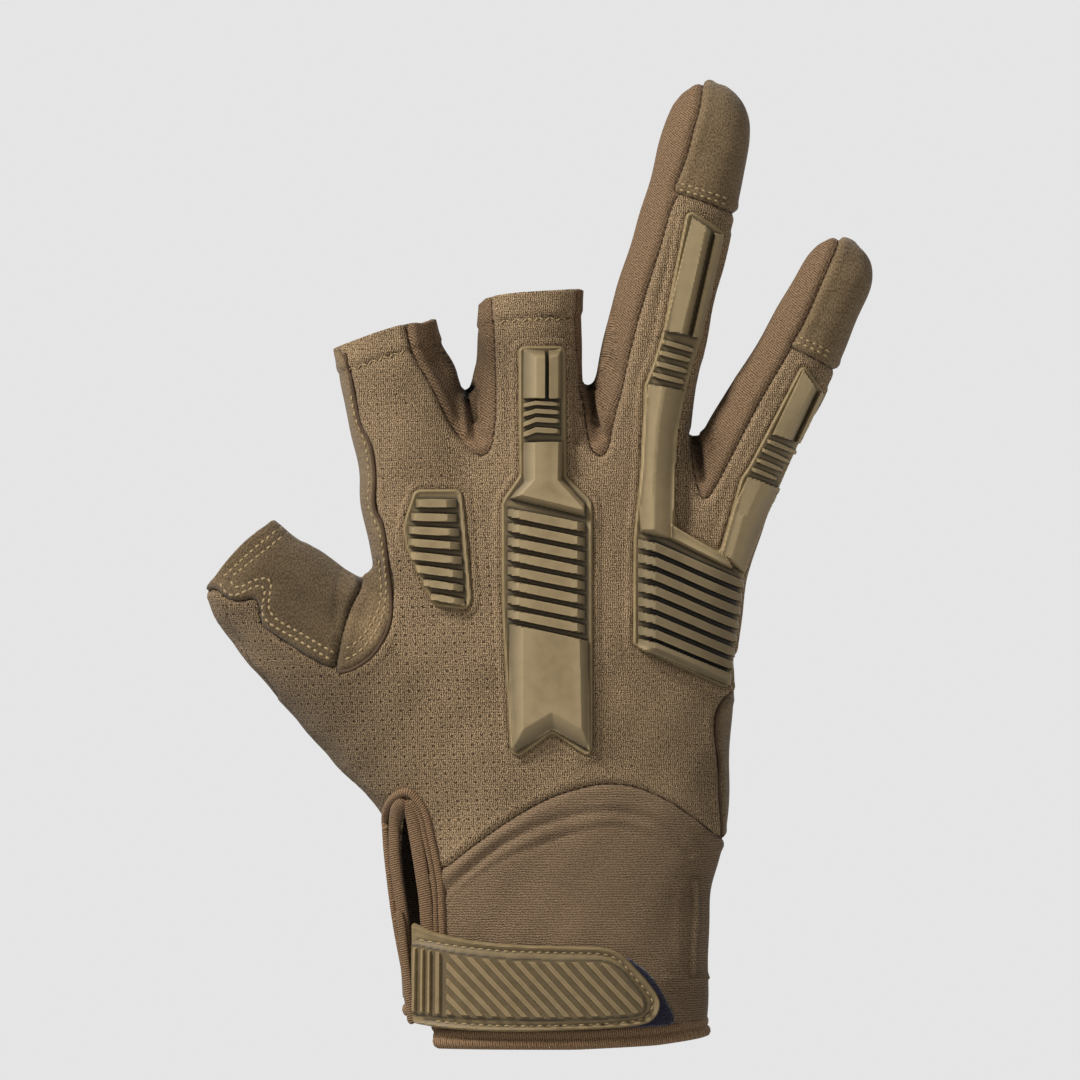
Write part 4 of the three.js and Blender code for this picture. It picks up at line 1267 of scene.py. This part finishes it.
def moulded(field, outline, cell, steps, height, lean=0.3, lift=0.0, sink=0.8):
    """Points, faces, places on the cloth, cut mesh and border points of a moulded piece.

    steps: for each value, its name, how to work it out and the levels to cut it at. height gives the height
    from all the values. lift raises the piece off the glove, and its wall goes down by sink below that.
    """
    low, high = outline.min(0) - cell, outline.max(0) + cell
    gx, gz = np.meshgrid(*(np.arange(a, b + cell, cell) for a, b in zip(low, high)), indexing="ij")
    points = np.stack([gx.ravel(), np.zeros(gx.size), gz.ravel()], axis=1)
    i = np.arange(gx.size).reshape(gx.shape)
    quads = np.stack([i[:-1, :-1], i[1:, :-1], i[1:, 1:], i[:-1, 1:]], axis=-1).reshape(-1, 4)
    cloth = Cloth(points, np.vstack([quads[:, [0, 1, 2]], quads[:, [0, 2, 3]]]))
    cloth.values["inside"] = -outline_distance(points, outline)
    cloth = cloth.part(cloth.values["inside"][cloth.triangles].max(1) > 0)
    cloth.split("inside", snap=0.02)
    cloth = cloth.part(cloth.middle("inside") > 0)
    for name, work_out, levels in steps:
        cloth.values.update(work_out(cloth.points))
        for level in levels:
            cloth.split(name, level, snap=0.03)
    base, normals = field.on_front(cloth.points[:, [0, 2]])
    direction = leaning_out(normals, lean)
    top = base + direction * (lift + height(cloth.values))[:, None]
    border = border_edges(cloth.triangles)
    ids = np.unique(border)
    place = np.full(len(top), -1)
    place[ids] = len(top) + np.arange(len(ids))
    wall = base[ids] + direction[ids] * (lift - sink)
    a, b = border.T
    faces = np.vstack([cloth.triangles, np.stack([b, a, place[a]], 1), np.stack([b, place[a], place[b]], 1)])
    weave = np.vstack([cloth.points[:, [0, 2]], cloth.points[ids][:, [0, 2]]])
    return np.vstack([top, wall]), faces, weave, cloth, ids


FLANGE = 0.9  # height of a guard's base plate
LIP_RISE, LIP_FROM_RIM, LIP_WIDTH = 0.4, 0.65, 0.42
GUARD_CELL, STRAP_CELL, PATCH_CELL = 0.36, 0.33, 0.5
GROOVE_SHADE, DEEP_GROOVE_SHADE = -0.22, -0.58  # painted shade at a block's foot by the rim, and more painted shade added to it further in


def guard_height(values):
    inside = values["inside"]
    plate = FLANGE * smoothstep(inside, -0.05, 0.4) + LIP_RISE * bump(inside - LIP_FROM_RIM, LIP_WIDTH)
    return plate + values["tall"] * np.clip(values["rise"], 0, 1)


# Painted shade and light on parts of a guard: on the ring and pinky guard the ribs right of their ridge are
# painted darker, as if turned from the light, and the whole guard a little lighter. Columns: x it starts at,
# z of its upper edge there, how that edge falls with x, amount.
GUARD_PAINTED_LIGHT_AND_SHADE = {"guard_ring_pinky": [(22.5, 128.5, 0.48, -0.34), (-100, 1000, 0, 0.08)]}


def guard_object(field, name, blocks):
    def rise(points):
        up, tall = block_rise(points, blocks)
        return {"rise": up, "tall": tall}

    outline = rounded_corners(GUARD_FLANGES[name])
    steps = [("rise", rise, (0, 1))]
    points, faces, weave, cloth, ids = moulded(field, outline, GUARD_CELL, steps, guard_height)
    up = cloth.values["rise"]
    # painted highlight along the blocks' top edges
    painted_highlight = bump((up - 1) * STEEP, 0.16) * (cloth.values["tall"] > 0)
    inside = cloth.values["inside"]
    # Painted shade in the gaps at the blocks' feet, a painted highlight on the flange's lip and painted shade
    # at its outer edge.
    groove = GROOVE_SHADE + DEEP_GROOVE_SHADE * smoothstep(inside, 1.0, 1.7)
    shade = (1 - np.clip(up, 0, 1)) * bump(np.minimum(up, 0) * STEEP, 0.6) * groove
    shade += 0.16 * bump(inside - 0.6, 0.35) - 0.3 * bump(inside, 0.2)
    x, z = cloth.points[:, 0], cloth.points[:, -1]
    for x0, z0, fall, amount in GUARD_PAINTED_LIGHT_AND_SHADE.get(name, []):
        below = z0 - fall * (x - x0) - z
        shade += amount * smoothstep(x, x0 - 0.5, x0 + 1.5) * smoothstep(below, 0, 0.5)
    wall = np.zeros(len(ids))
    # the walls below the guard get the painted shade of the inner faces
    edge, shade = np.r_[painted_highlight, wall], np.r_[shade, wall + INSIDE_SHADE]
    obj = add_object(name + "_rubber", points, faces, weave, edge, shade, crease=28)
    finish_piece(obj, LOOKS["rubber"], "guard_rubber", name)


STRAP_OUTLINE = from_photo([
    (415, 928), (415, 921), (421, 924), (440, 932), (484, 940.5), (545, 943.5), (596, 944), (610, 946.5),
    (623, 953), (635, 966), (648, 981), (657, 994), (658.5, 1004.6), (654, 1015), (645, 1022),
    (613, 1025.7), (545, 1028.3), (510, 1029), (457, 1027.4), (424, 1023.3), (417.5, 1022), (417, 1016),
])
STRAP_PANEL = from_photo([
    (406, 939), (440, 946.5), (466, 951), (510, 955.5), (545, 956.4), (601, 956.4), (613, 961),
    (624, 969.6), (645, 997.6), (643, 1010), (631, 1015), (545, 1017.8), (440, 1015), (406, 1011),
])
STRAP_CHANNEL = from_photo([
    (422.5, 938), (457.5, 944), (503, 948.5), (545, 950), (596, 951), (610, 953.7), (620, 960), (631, 973),
    (643, 987), (650, 997.6), (648.5, 1008), (639.6, 1016.4), (604.6, 1020.6), (545, 1022.6), (484, 1022),
    (429.5, 1018),
])
UPRIGHT_RIBS_PX = [(420.8, 3.6), (427.6, 3.6), (434, 3.4), (442, 5)]  # x and width
SLOPE, SLOPE_PITCH, SLOPE_FIRST, SLOPE_WIDTH, SLOPE_LEFT = 0.91, 3.5, 13.9, 2.2, -26.6
SLOPE_SQUARE = 0.74  # how wide a sloping rib is square to itself, as a share of its width along x
PANEL_MARGIN = 0.7
RIB_BEVEL = 0.25
STRAP_LIFT, PATCH_LIFT, STRAP_LEAN, STRAP_SINK = 1.2, 0.25, 0.6, 0.5
STRAP_THICKNESS, PATCH_THICKNESS, RIB_RISE = 1.5, 0.75, 0.9
STRAP_LIP, STRAP_PANEL_RISE, CHANNEL_DEPTH, CHANNEL_WIDTH = 0.35, 0.35, 0.35, 0.45
PATCH_OUTLINE = from_photo([
    (560, 951), (622, 951), (650, 972), (662, 991), (674, 1015), (673, 1023), (650, 1025), (560, 1025),
])


def strap_values(points):
    x, z = points[:, 0], points[:, -1]
    panel = -outline_distance(points, corners_cut(STRAP_PANEL))
    ribs = np.full(len(points), -FAR)
    for px, width in UPRIGHT_RIBS_PX:
        ribs = np.maximum(ribs, width * PX / 2 - np.abs(x - (px - PHOTO_ORIGIN[0]) * PX))
    turns = (x + SLOPE * z - SLOPE_FIRST) / SLOPE_PITCH
    off = np.abs((turns + 0.5) % 1 - 0.5) * SLOPE_PITCH
    sloped = np.minimum((SLOPE_WIDTH / 2 - off) * SLOPE_SQUARE, x - SLOPE_LEFT)
    ribs = np.minimum(np.maximum(ribs, sloped), panel - PANEL_MARGIN)
    return {"panel": panel, "ribs": ribs, "channel": path_distance(points[:, [0, -1]], STRAP_CHANNEL)}


def strap_height(values):
    inside = values["inside"]
    body = STRAP_THICKNESS * smoothstep(inside, -0.1, 0.5) + STRAP_LIP * bump(inside - 0.6, 0.45)
    body += STRAP_PANEL_RISE * smoothstep(values["panel"], -0.25, 0.15)
    body -= CHANNEL_DEPTH * bump(values["channel"], CHANNEL_WIDTH)
    return body + RIB_RISE * np.clip(values["ribs"] / RIB_BEVEL, 0, 1)


def strap_object(field):
    steps = [("ribs", strap_values, (0, RIB_BEVEL))]
    outline = corners_cut(STRAP_OUTLINE, 1)
    points, faces, weave, cloth, ids = moulded(
        field, outline, STRAP_CELL, steps, strap_height, STRAP_LEAN, STRAP_LIFT, STRAP_SINK
    )
    v = cloth.values
    # painted highlight on the ribs' tops and along the lip
    painted_highlight = 0.8 * bump(v["ribs"] - RIB_BEVEL, 0.12) + 0.6 * bump(v["inside"] - 0.55, 0.3)
    # Painted shade in the grooves between the ribs, along the channel and at the panel's edge, a little
    # painted light on the ribs' tops, and painted shade on the wall.
    shade = (v["panel"] > 0) * (0.08 - 0.5 * smoothstep(-v["ribs"], -0.15, 0.15))
    shade -= 0.5 * bump(v["channel"], 0.35) + 0.4 * bump(v["panel"], 0.3)
    wall = np.zeros(len(ids))
    edge, shade = np.r_[painted_highlight, wall], np.r_[shade, wall - 0.3]
    obj = add_object("closure_strap_rubber", points, faces, weave, edge, shade, crease=35)
    finish_piece(obj, LOOKS["strap"], "guard_rubber", "closure_strap")


def patch_height(values):
    return PATCH_THICKNESS * smoothstep(values["inside"], -0.1, 0.5)


def patch_object(field):
    outline = corners_cut(PATCH_OUTLINE, 1)
    mesh = moulded(field, outline, PATCH_CELL, [], patch_height, STRAP_LEAN, PATCH_LIFT)[:3]
    obj = add_object("loop_patch_navy", *mesh)
    finish_piece(obj, LOOKS["loop"], "loop", "loop_patch")


# Bindings


def swept(path, normals, width, height, sides=12):
    """A roll along a path. width and height are its radii beside and above the path."""
    along = unit(np.gradient(path, axis=0))
    side = unit(np.cross(along, normals))
    up = np.cross(side, along)
    s = lengths_along(path)
    ends = np.minimum(s, s[-1] - s) / max(width, height)
    scale = np.maximum(np.sqrt(1 - np.clip(1 - ends, 0, 1) ** 2), 0.02)
    angle = np.arange(sides) / sides * 2 * np.pi
    ring = side[:, None] * (width * np.cos(angle)[:, None]) + up[:, None] * (height * np.sin(angle)[:, None])
    points = (path[:, None] + ring * scale[:, None, None]).reshape(-1, 3)
    weave = np.stack([np.repeat(s, sides), np.tile(angle * (width + height) / 2, len(path))], axis=1)
    return points, ring_quads(len(path), sides), weave


def merged(parts):
    points, faces, weaves, count = [], [], [], 0
    for p, f, w in parts:
        points.append(p)
        faces.append(np.asarray(f) + count)
        weaves.append(w)
        count += len(p)
    return np.vstack(points), np.vstack(faces), np.vstack(weaves)


# Rolls of tape round the slit. Columns: path in the photograph, width, height, lift off the cloth, painted
# shade, which darkens the inner rolls beside the gap.
SLIT_ROLLS = [
    ([(410, 990), (407, 972), (397.5, 922), (389.8, 862), (386.6, 822), (389, 805), (397, 794.5), (408, 791),
      (418, 799), (427, 815), (432, 838), (438.6, 868), (441.5, 890), (443, 925), (444, 950)],
     1.05, 1.1, 0.3, 0),
    ([(415.2, 1006), (412.8, 985), (410.2, 962), (406.5, 930), (402.5, 903), (398.8, 878), (396, 850),
      (396.3, 822), (399.5, 806), (407, 798)],
     1.85, 1.3, 0.4, -0.12),
    ([(407, 798), (411.5, 808), (415.8, 830), (419.5, 852), (424, 880), (426.8, 902), (428.6, 930),
      (429.4, 950)],
     2.0, 1.1, 0.2, -0.15),
    ([(412, 798), (422, 814.5), (427.5, 838), (433.8, 868), (437, 890), (438.3, 925), (439, 950)],
     0.7, 0.9, 0.9, -0.1),
    ([(418, 1023), (416, 1000), (412.5, 965), (407.8, 926), (404, 908)], 1.4, 0.9, 1.9, -0.12),
]
ROLL_PITCH = 0.24


def slit_object(field):
    parts, shades = [], []
    for path, width, height, lift, shade in SLIT_ROLLS:
        points, normals = field.on_front(resample(spline(from_photo(path), 8), ROLL_PITCH))
        parts.append(swept(points + normals * lift, normals, width, height))
        shades.append(np.full(len(parts[-1][0]), shade))
    obj = add_object("slit_binding_tape", *merged(parts), shade=np.concatenate(shades))
    finish_piece(obj, LOOKS["tape"], "tape", "slit_binding")


# The hem's section: how far out of the wrist's surface, and height over the hem's lower edge.
HEM_SECTION = [
    (-1.7, 0.7), (-1.2, 0.15), (-0.2, 0.0), (0.75, 0.35), (1.15, 1.2), (1.0, 2.1), (0.5, 2.65),
    (0.35, 2.85), (0.6, 3.15), (0.7, 3.9), (0.5, 4.7), (0.0, 4.95), (-1.7, 4.9),
]
HEM_START, HEM_END = (-30.6, -36.6)  # x of its ends, on the two sides of the slit
HEM_PITCH, HEM_RIB_PITCH, HEM_RIB_DEPTH = 0.22, 0.84, 0.08
HEM_MIDDLE = 2.4  # the height that its ends shrink towards
HEM_END_LENGTH = 1.6  # over which they shrink
HEM_RIBBED_TO = 2.8  # ribs stop at this height
WRIST_HALF_WIDTH, WRIST_HALF_DEPTH, WRIST_MIDDLE = 37.5, 21.0, 0.1


def wrist_path():
    """The wrist's outline, seen from above, from one side of the slit round the palm to the other."""
    a = np.linspace(0, 2 * np.pi, 1441)[:-1]
    power = 2 / LIMBS["hand"][0]
    x = WRIST_MIDDLE + WRIST_HALF_WIDTH * np.sign(np.cos(a)) * np.abs(np.cos(a)) ** power
    y = WRIST_HALF_DEPTH * np.sign(np.sin(a)) * np.abs(np.sin(a)) ** power
    ring = np.stack([x, y + mid_depth(x, np.zeros_like(x))], axis=1)

    def place_on_back(x):
        return np.argmin(np.abs(ring[:, 0] - x) + 100 * (ring[:, 1] > 0))

    ring = np.roll(ring, -place_on_back(HEM_START), axis=0)
    return resample(ring[: place_on_back(HEM_END) + 1], HEM_PITCH)


def hem_object():
    ring = wrist_path()
    count, sides = len(ring), len(HEM_SECTION)
    outward = -sideways(ring)
    low = running_mean(hem_low(*ring.T), 10)
    s = np.arange(count) * HEM_PITCH
    ends = np.clip(np.minimum(s, s[-1] - s) / HEM_END_LENGTH, 0, 1)
    shrink = np.sqrt(np.maximum(1 - (1 - ends) ** 2, 0.01))[:, None]
    section_out, section_up = np.array(HEM_SECTION).T
    ribbed = (section_out > 0.3) & (section_up < HEM_RIBBED_TO)
    out = (section_out + ribbed * HEM_RIB_DEPTH * np.cos(2 * np.pi * s / HEM_RIB_PITCH)[:, None]) * shrink
    up = low[:, None] + HEM_MIDDLE + (section_up - HEM_MIDDLE) * shrink
    points = np.dstack([ring[:, :1] + outward[:, :1] * out, ring[:, 1:] + outward[:, 1:] * out, up])
    caps = [list(range(sides)), list(range(count * sides - 1, (count - 1) * sides - 1, -1))]
    weave = np.stack([np.repeat(s, sides), np.tile(lengths_along(HEM_SECTION), count)], axis=1)
    # painted light on the roll below the top band, which is left darker in the strap's shade
    shade = np.tile(np.where(section_up > 2.9, 0.0, 0.12), count)
    faces = [*ring_quads(count, sides).tolist(), *caps]
    obj = add_object("hem_binding_tape", points.reshape(-1, 3), faces, weave, shade=shade)
    finish_piece(obj, LOOKS["tape"], "tape", "hem_binding")


# Sewing. Columns: length of a stitch, gap, thread radius, zigzag.
STITCH_STYLES = {
    "hem": (1.3, 0.1, 0.2, 1.0), "thumb": (1.5, 0.3, 0.33, 0), "cap": (1.45, 0.35, 0.3, 0),
    "wrap": (1.6, 0.4, 0.28, 0), "strap": (1.5, 0.55, 0.24, 0),
}
STITCH_LIFT, STRAP_STITCH_LIFT = 0.1, 0.12
# Rows of stitches. Columns: style, path in the photograph.
STITCHES_PX = [
    ("hem", [(346, 371), (376, 361), (406, 351.5)]),
    ("hem", [(500, 322), (540, 319.5), (573, 319)]),
    ("thumb", [(281, 526), (250, 552), (221, 579)]),
    ("thumb", [(287, 532), (257, 556.5), (230, 578)]),
    ("thumb", [
        (219, 583), (222, 589), (233, 596), (258, 586), (265, 591), (264, 618), (300, 641), (336, 662.5),
    ]),
    ("thumb", [
        (230, 581), (237, 588.5), (257, 579.5), (271, 582), (270.5, 613), (304, 635), (337, 654),
    ]),
    ("cap", [(681, 183), (700, 189), (732, 199)]),
    ("cap", [(679.5, 189), (700, 195), (731.5, 205)]),
    ("cap", [(799, 337), (815, 344), (836.5, 355.5)]),
    ("cap", [(796.5, 342.5), (814, 349.5), (835, 361)]),
    ("wrap", [
        (351, 395), (356, 420), (365, 442), (369.5, 479), (368, 504), (379, 530), (384, 557), (386, 597),
        (378, 628), (358, 653), (340, 661),
    ]),
    ("wrap", [(379, 560), (381, 595), (374, 620), (356, 643), (340, 651)]),
]
# Cords of dark thread along the edge of the wraps, beside the index finger and on the edge of the hand.
PIPING_PX = [
    (345, 352), (350, 373), (355.5, 401), (361, 426), (370, 443), (375, 474), (374.5, 507), (383, 527),
    (387.5, 561), (391.5, 605), (387, 631), (373, 655), (354, 668.5), (338, 672.5),
]
EDGE_PIPING_PX = [
    (731, 691), (721, 703), (716.5, 720), (716, 743), (719, 762), (718.5, 785), (719.5, 800), (721, 825),
    (722, 838),
]
PIPINGS = {"wrap_piping": (PIPING_PX, 0.5), "edge_piping": (EDGE_PIPING_PX, 0.46)}  # paths and radii
PIPING_LIFT, PIPING_PITCH = 0.15, 0.3
IN_FRONT = -60  # a place in front of the whole glove


STITCH_RINGS, STITCH_SIDES = 7, 6
STITCH_DIVE = 1.4  # how deep a stitch's ends go, in thread radii


def stitch(a, b, normal, radius):
    """A thread from a to b that bows up and dives into the cloth at both ends."""
    length = np.linalg.norm(b - a)
    along = (b - a) / length
    side = np.cross(along, normal)
    t = np.linspace(-1, 1, STITCH_RINGS)[:, None]
    swell = np.sqrt(np.maximum(1 - t**4, 0.03))
    middle = (a + b) / 2 + t * along * length / 2 - normal * (radius * STITCH_DIVE * t**2)
    angle = np.arange(STITCH_SIDES) / STITCH_SIDES * 2 * np.pi
    ring = side * np.cos(angle)[:, None] + normal * np.sin(angle)[:, None]
    points = (middle[:, None] + ring[None] * radius * swell[:, None]).reshape(-1, 3)
    weave = np.stack(
        [np.repeat(t * length / 2, STITCH_SIDES), np.tile(angle * radius, STITCH_RINGS)], axis=1
    )
    return points, ring_quads(STITCH_RINGS, STITCH_SIDES), weave


def stitch_row(surface, path, style, lift):
    length, gap, radius, zigzag = STITCH_STYLES[style]
    at = resample(spline(path, 8), length + gap)
    at = at + (np.arange(len(at)) % 2 - 0.5)[:, None] * zigzag * sideways(at)
    points, normals = surface(at)
    points = points + normals * lift
    parts = []
    for a, b, n in zip(points, points[1:], normals):
        step = np.linalg.norm(b - a)
        parts.append(stitch(a, a + (b - a) * (step - gap) / step, n, radius))
    return parts


def sewing_objects(field, faces_out):
    counts = np.r_[0, np.cumsum([len(points) for points, _ in faces_out])]
    cloth_points = np.vstack([points for points, _ in faces_out])
    cloth_faces = np.vstack([faces + first for (_, faces), first in zip(faces_out, counts)])
    tree = BVHTree.FromPolygons(cloth_points.tolist(), cloth_faces.tolist())

    def on_cloth(xz):
        points, normals = field.on_front(xz)
        for i, (x, z) in enumerate(xz):
            hit = tree.ray_cast((x, IN_FRONT, z), -BACK)[0]
            if hit is not None:
                points[i] = hit
        return points, normals

    def on_strap(xz):
        base, normals = field.on_front(xz)
        inside = -outline_distance(xz, corners_cut(STRAP_OUTLINE, 1))
        height = STRAP_LIFT + strap_height({"inside": inside, **strap_values(xz)})
        return base + leaning_out(normals, STRAP_LEAN) * height[:, None], normals

    parts = []
    for style, path in STITCHES_PX:
        parts += stitch_row(on_cloth, from_photo(path), style, STITCH_LIFT)
    finish_piece(add_object("cloth_stitches", *merged(parts)), LOOKS["thread"], "suede")
    for name, (path, radius) in PIPINGS.items():
        points, normals = on_cloth(resample(spline(from_photo(path), 8), PIPING_PITCH))
        points[:, 1] = running_mean(points[:, 1], 4)
        cord = swept(points + normals * PIPING_LIFT, normals, radius, radius, 8)
        finish_piece(add_object(name, *cord), LOOKS["dark thread"], "suede")
    parts = stitch_row(on_strap, STRAP_CHANNEL, "strap", STRAP_STITCH_LIFT)
    finish_piece(add_object("strap_stitches", *merged(parts)), LOOKS["thread"], "tape")


# The stage


PALE = 0.784  # how bright the background looks
AMBIENT = 0.17  # how brightly it lights the glove
FLOOR_RADIUS, FLOOR_SIDES, FLOOR_HEIGHT = 4.0, 64, -0.06
CAMERA_DISTANCE, CAMERA_SHIFT = 2.25, 0.008
AIM = (0, 0, 0.12)
LIGHTS = (  # name, place, size, power
    ("key", (-0.95, -0.62, 1.2), 0.35, 36),
    ("fill", (0.5, -1.5, 0.3), 0.9, 3),
    ("back", (0.3, 1.2, 0.7), 0.9, 10),
)


def surround(scene):
    scene.world = bpy.data.worlds.new("pale_surround")
    scene.world.use_nodes = True
    tree = scene.world.node_tree
    background = tree.nodes["Background"]
    seen = tree.nodes.new("ShaderNodeLightPath")
    strength = tree.nodes.new("ShaderNodeMapRange")
    strength.inputs["To Min"].default_value = AMBIENT
    strength.inputs["To Max"].default_value = PALE
    tree.links.new(seen.outputs["Is Camera Ray"], strength.inputs["Value"])
    tree.links.new(strength.outputs[0], background.inputs["Strength"])
    background.inputs["Color"].default_value = (1, 1, 1, 1)


def floor():
    """A pale disc that glows like the background away from the glove."""
    angle = np.arange(FLOOR_SIDES) / FLOOR_SIDES * 2 * np.pi
    rim = [np.cos(angle) * FLOOR_RADIUS, np.sin(angle) * FLOOR_RADIUS, np.full(FLOOR_SIDES, FLOOR_HEIGHT)]
    disc = add_object("floor", np.stack(rim, axis=1) / MM, [range(FLOOR_SIDES)])
    look = Look("floor_pale", roughness=0.9)
    place = look.add("ShaderNodeTexCoord", {}, 3)
    far = look.add("ShaderNodeVectorMath", {0: place}, 1, operation="LENGTH")
    look.shader.inputs["Base Color"].default_value = (0.5, 0.5, 0.5, 1)
    glow = look.add("ShaderNodeEmission", {"Strength": PALE})
    links = {0: look.ramp(far, 0.15, 0.5), 1: look.shader.outputs[0], 2: glow}
    mixed = look.add("ShaderNodeMixShader", links)
    look.tree.links.new(mixed, look.tree.nodes["Material Output"].inputs["Surface"])
    disc.data.materials.append(look.material)


def stage():
    scene = bpy.context.scene
    scene.view_settings.view_transform = "Standard"
    surround(scene)
    floor()
    for name, place, size, power in LIGHTS:
        light = bpy.data.lights.new(name, "AREA")
        light.size = size
        light.energy = power
        lamp = bpy.data.objects.new(name, light)
        scene.collection.objects.link(lamp)
        lamp.location = place
        lamp.rotation_euler = (Vector(AIM) - lamp.location).to_track_quat("-Z", "Y").to_euler()

    camera = bpy.data.cameras.new("camera")
    camera.sensor_width = 36
    camera.lens = camera.sensor_width * CAMERA_DISTANCE / (PHOTO_SIDE * PX * MM)
    camera.clip_end = 20
    eye = bpy.data.objects.new("camera", camera)
    scene.collection.objects.link(eye)
    x, z = from_photo([PHOTO_MIDDLE])[0]
    eye.location = (x * MM, -CAMERA_DISTANCE - CAMERA_SHIFT, z * MM)
    eye.rotation_euler = (math.radians(90), 0, 0)
    scene.camera = eye


field = Field()
cloth, masks = cloth_panels(field, Relief())
faces_out = [panel_object(name, cloth.part(mask)) for name, mask in masks.items()]
guard_object(field, "guard_index", index_blocks())
guard_object(field, "guard_middle", middle_blocks())
guard_object(field, "guard_ring_pinky", outer_blocks())
strap_object(field)
patch_object(field)
slit_object(field)
hem_object()
sewing_objects(field, faces_out)
stage()

bpy.context.view_layer.update()
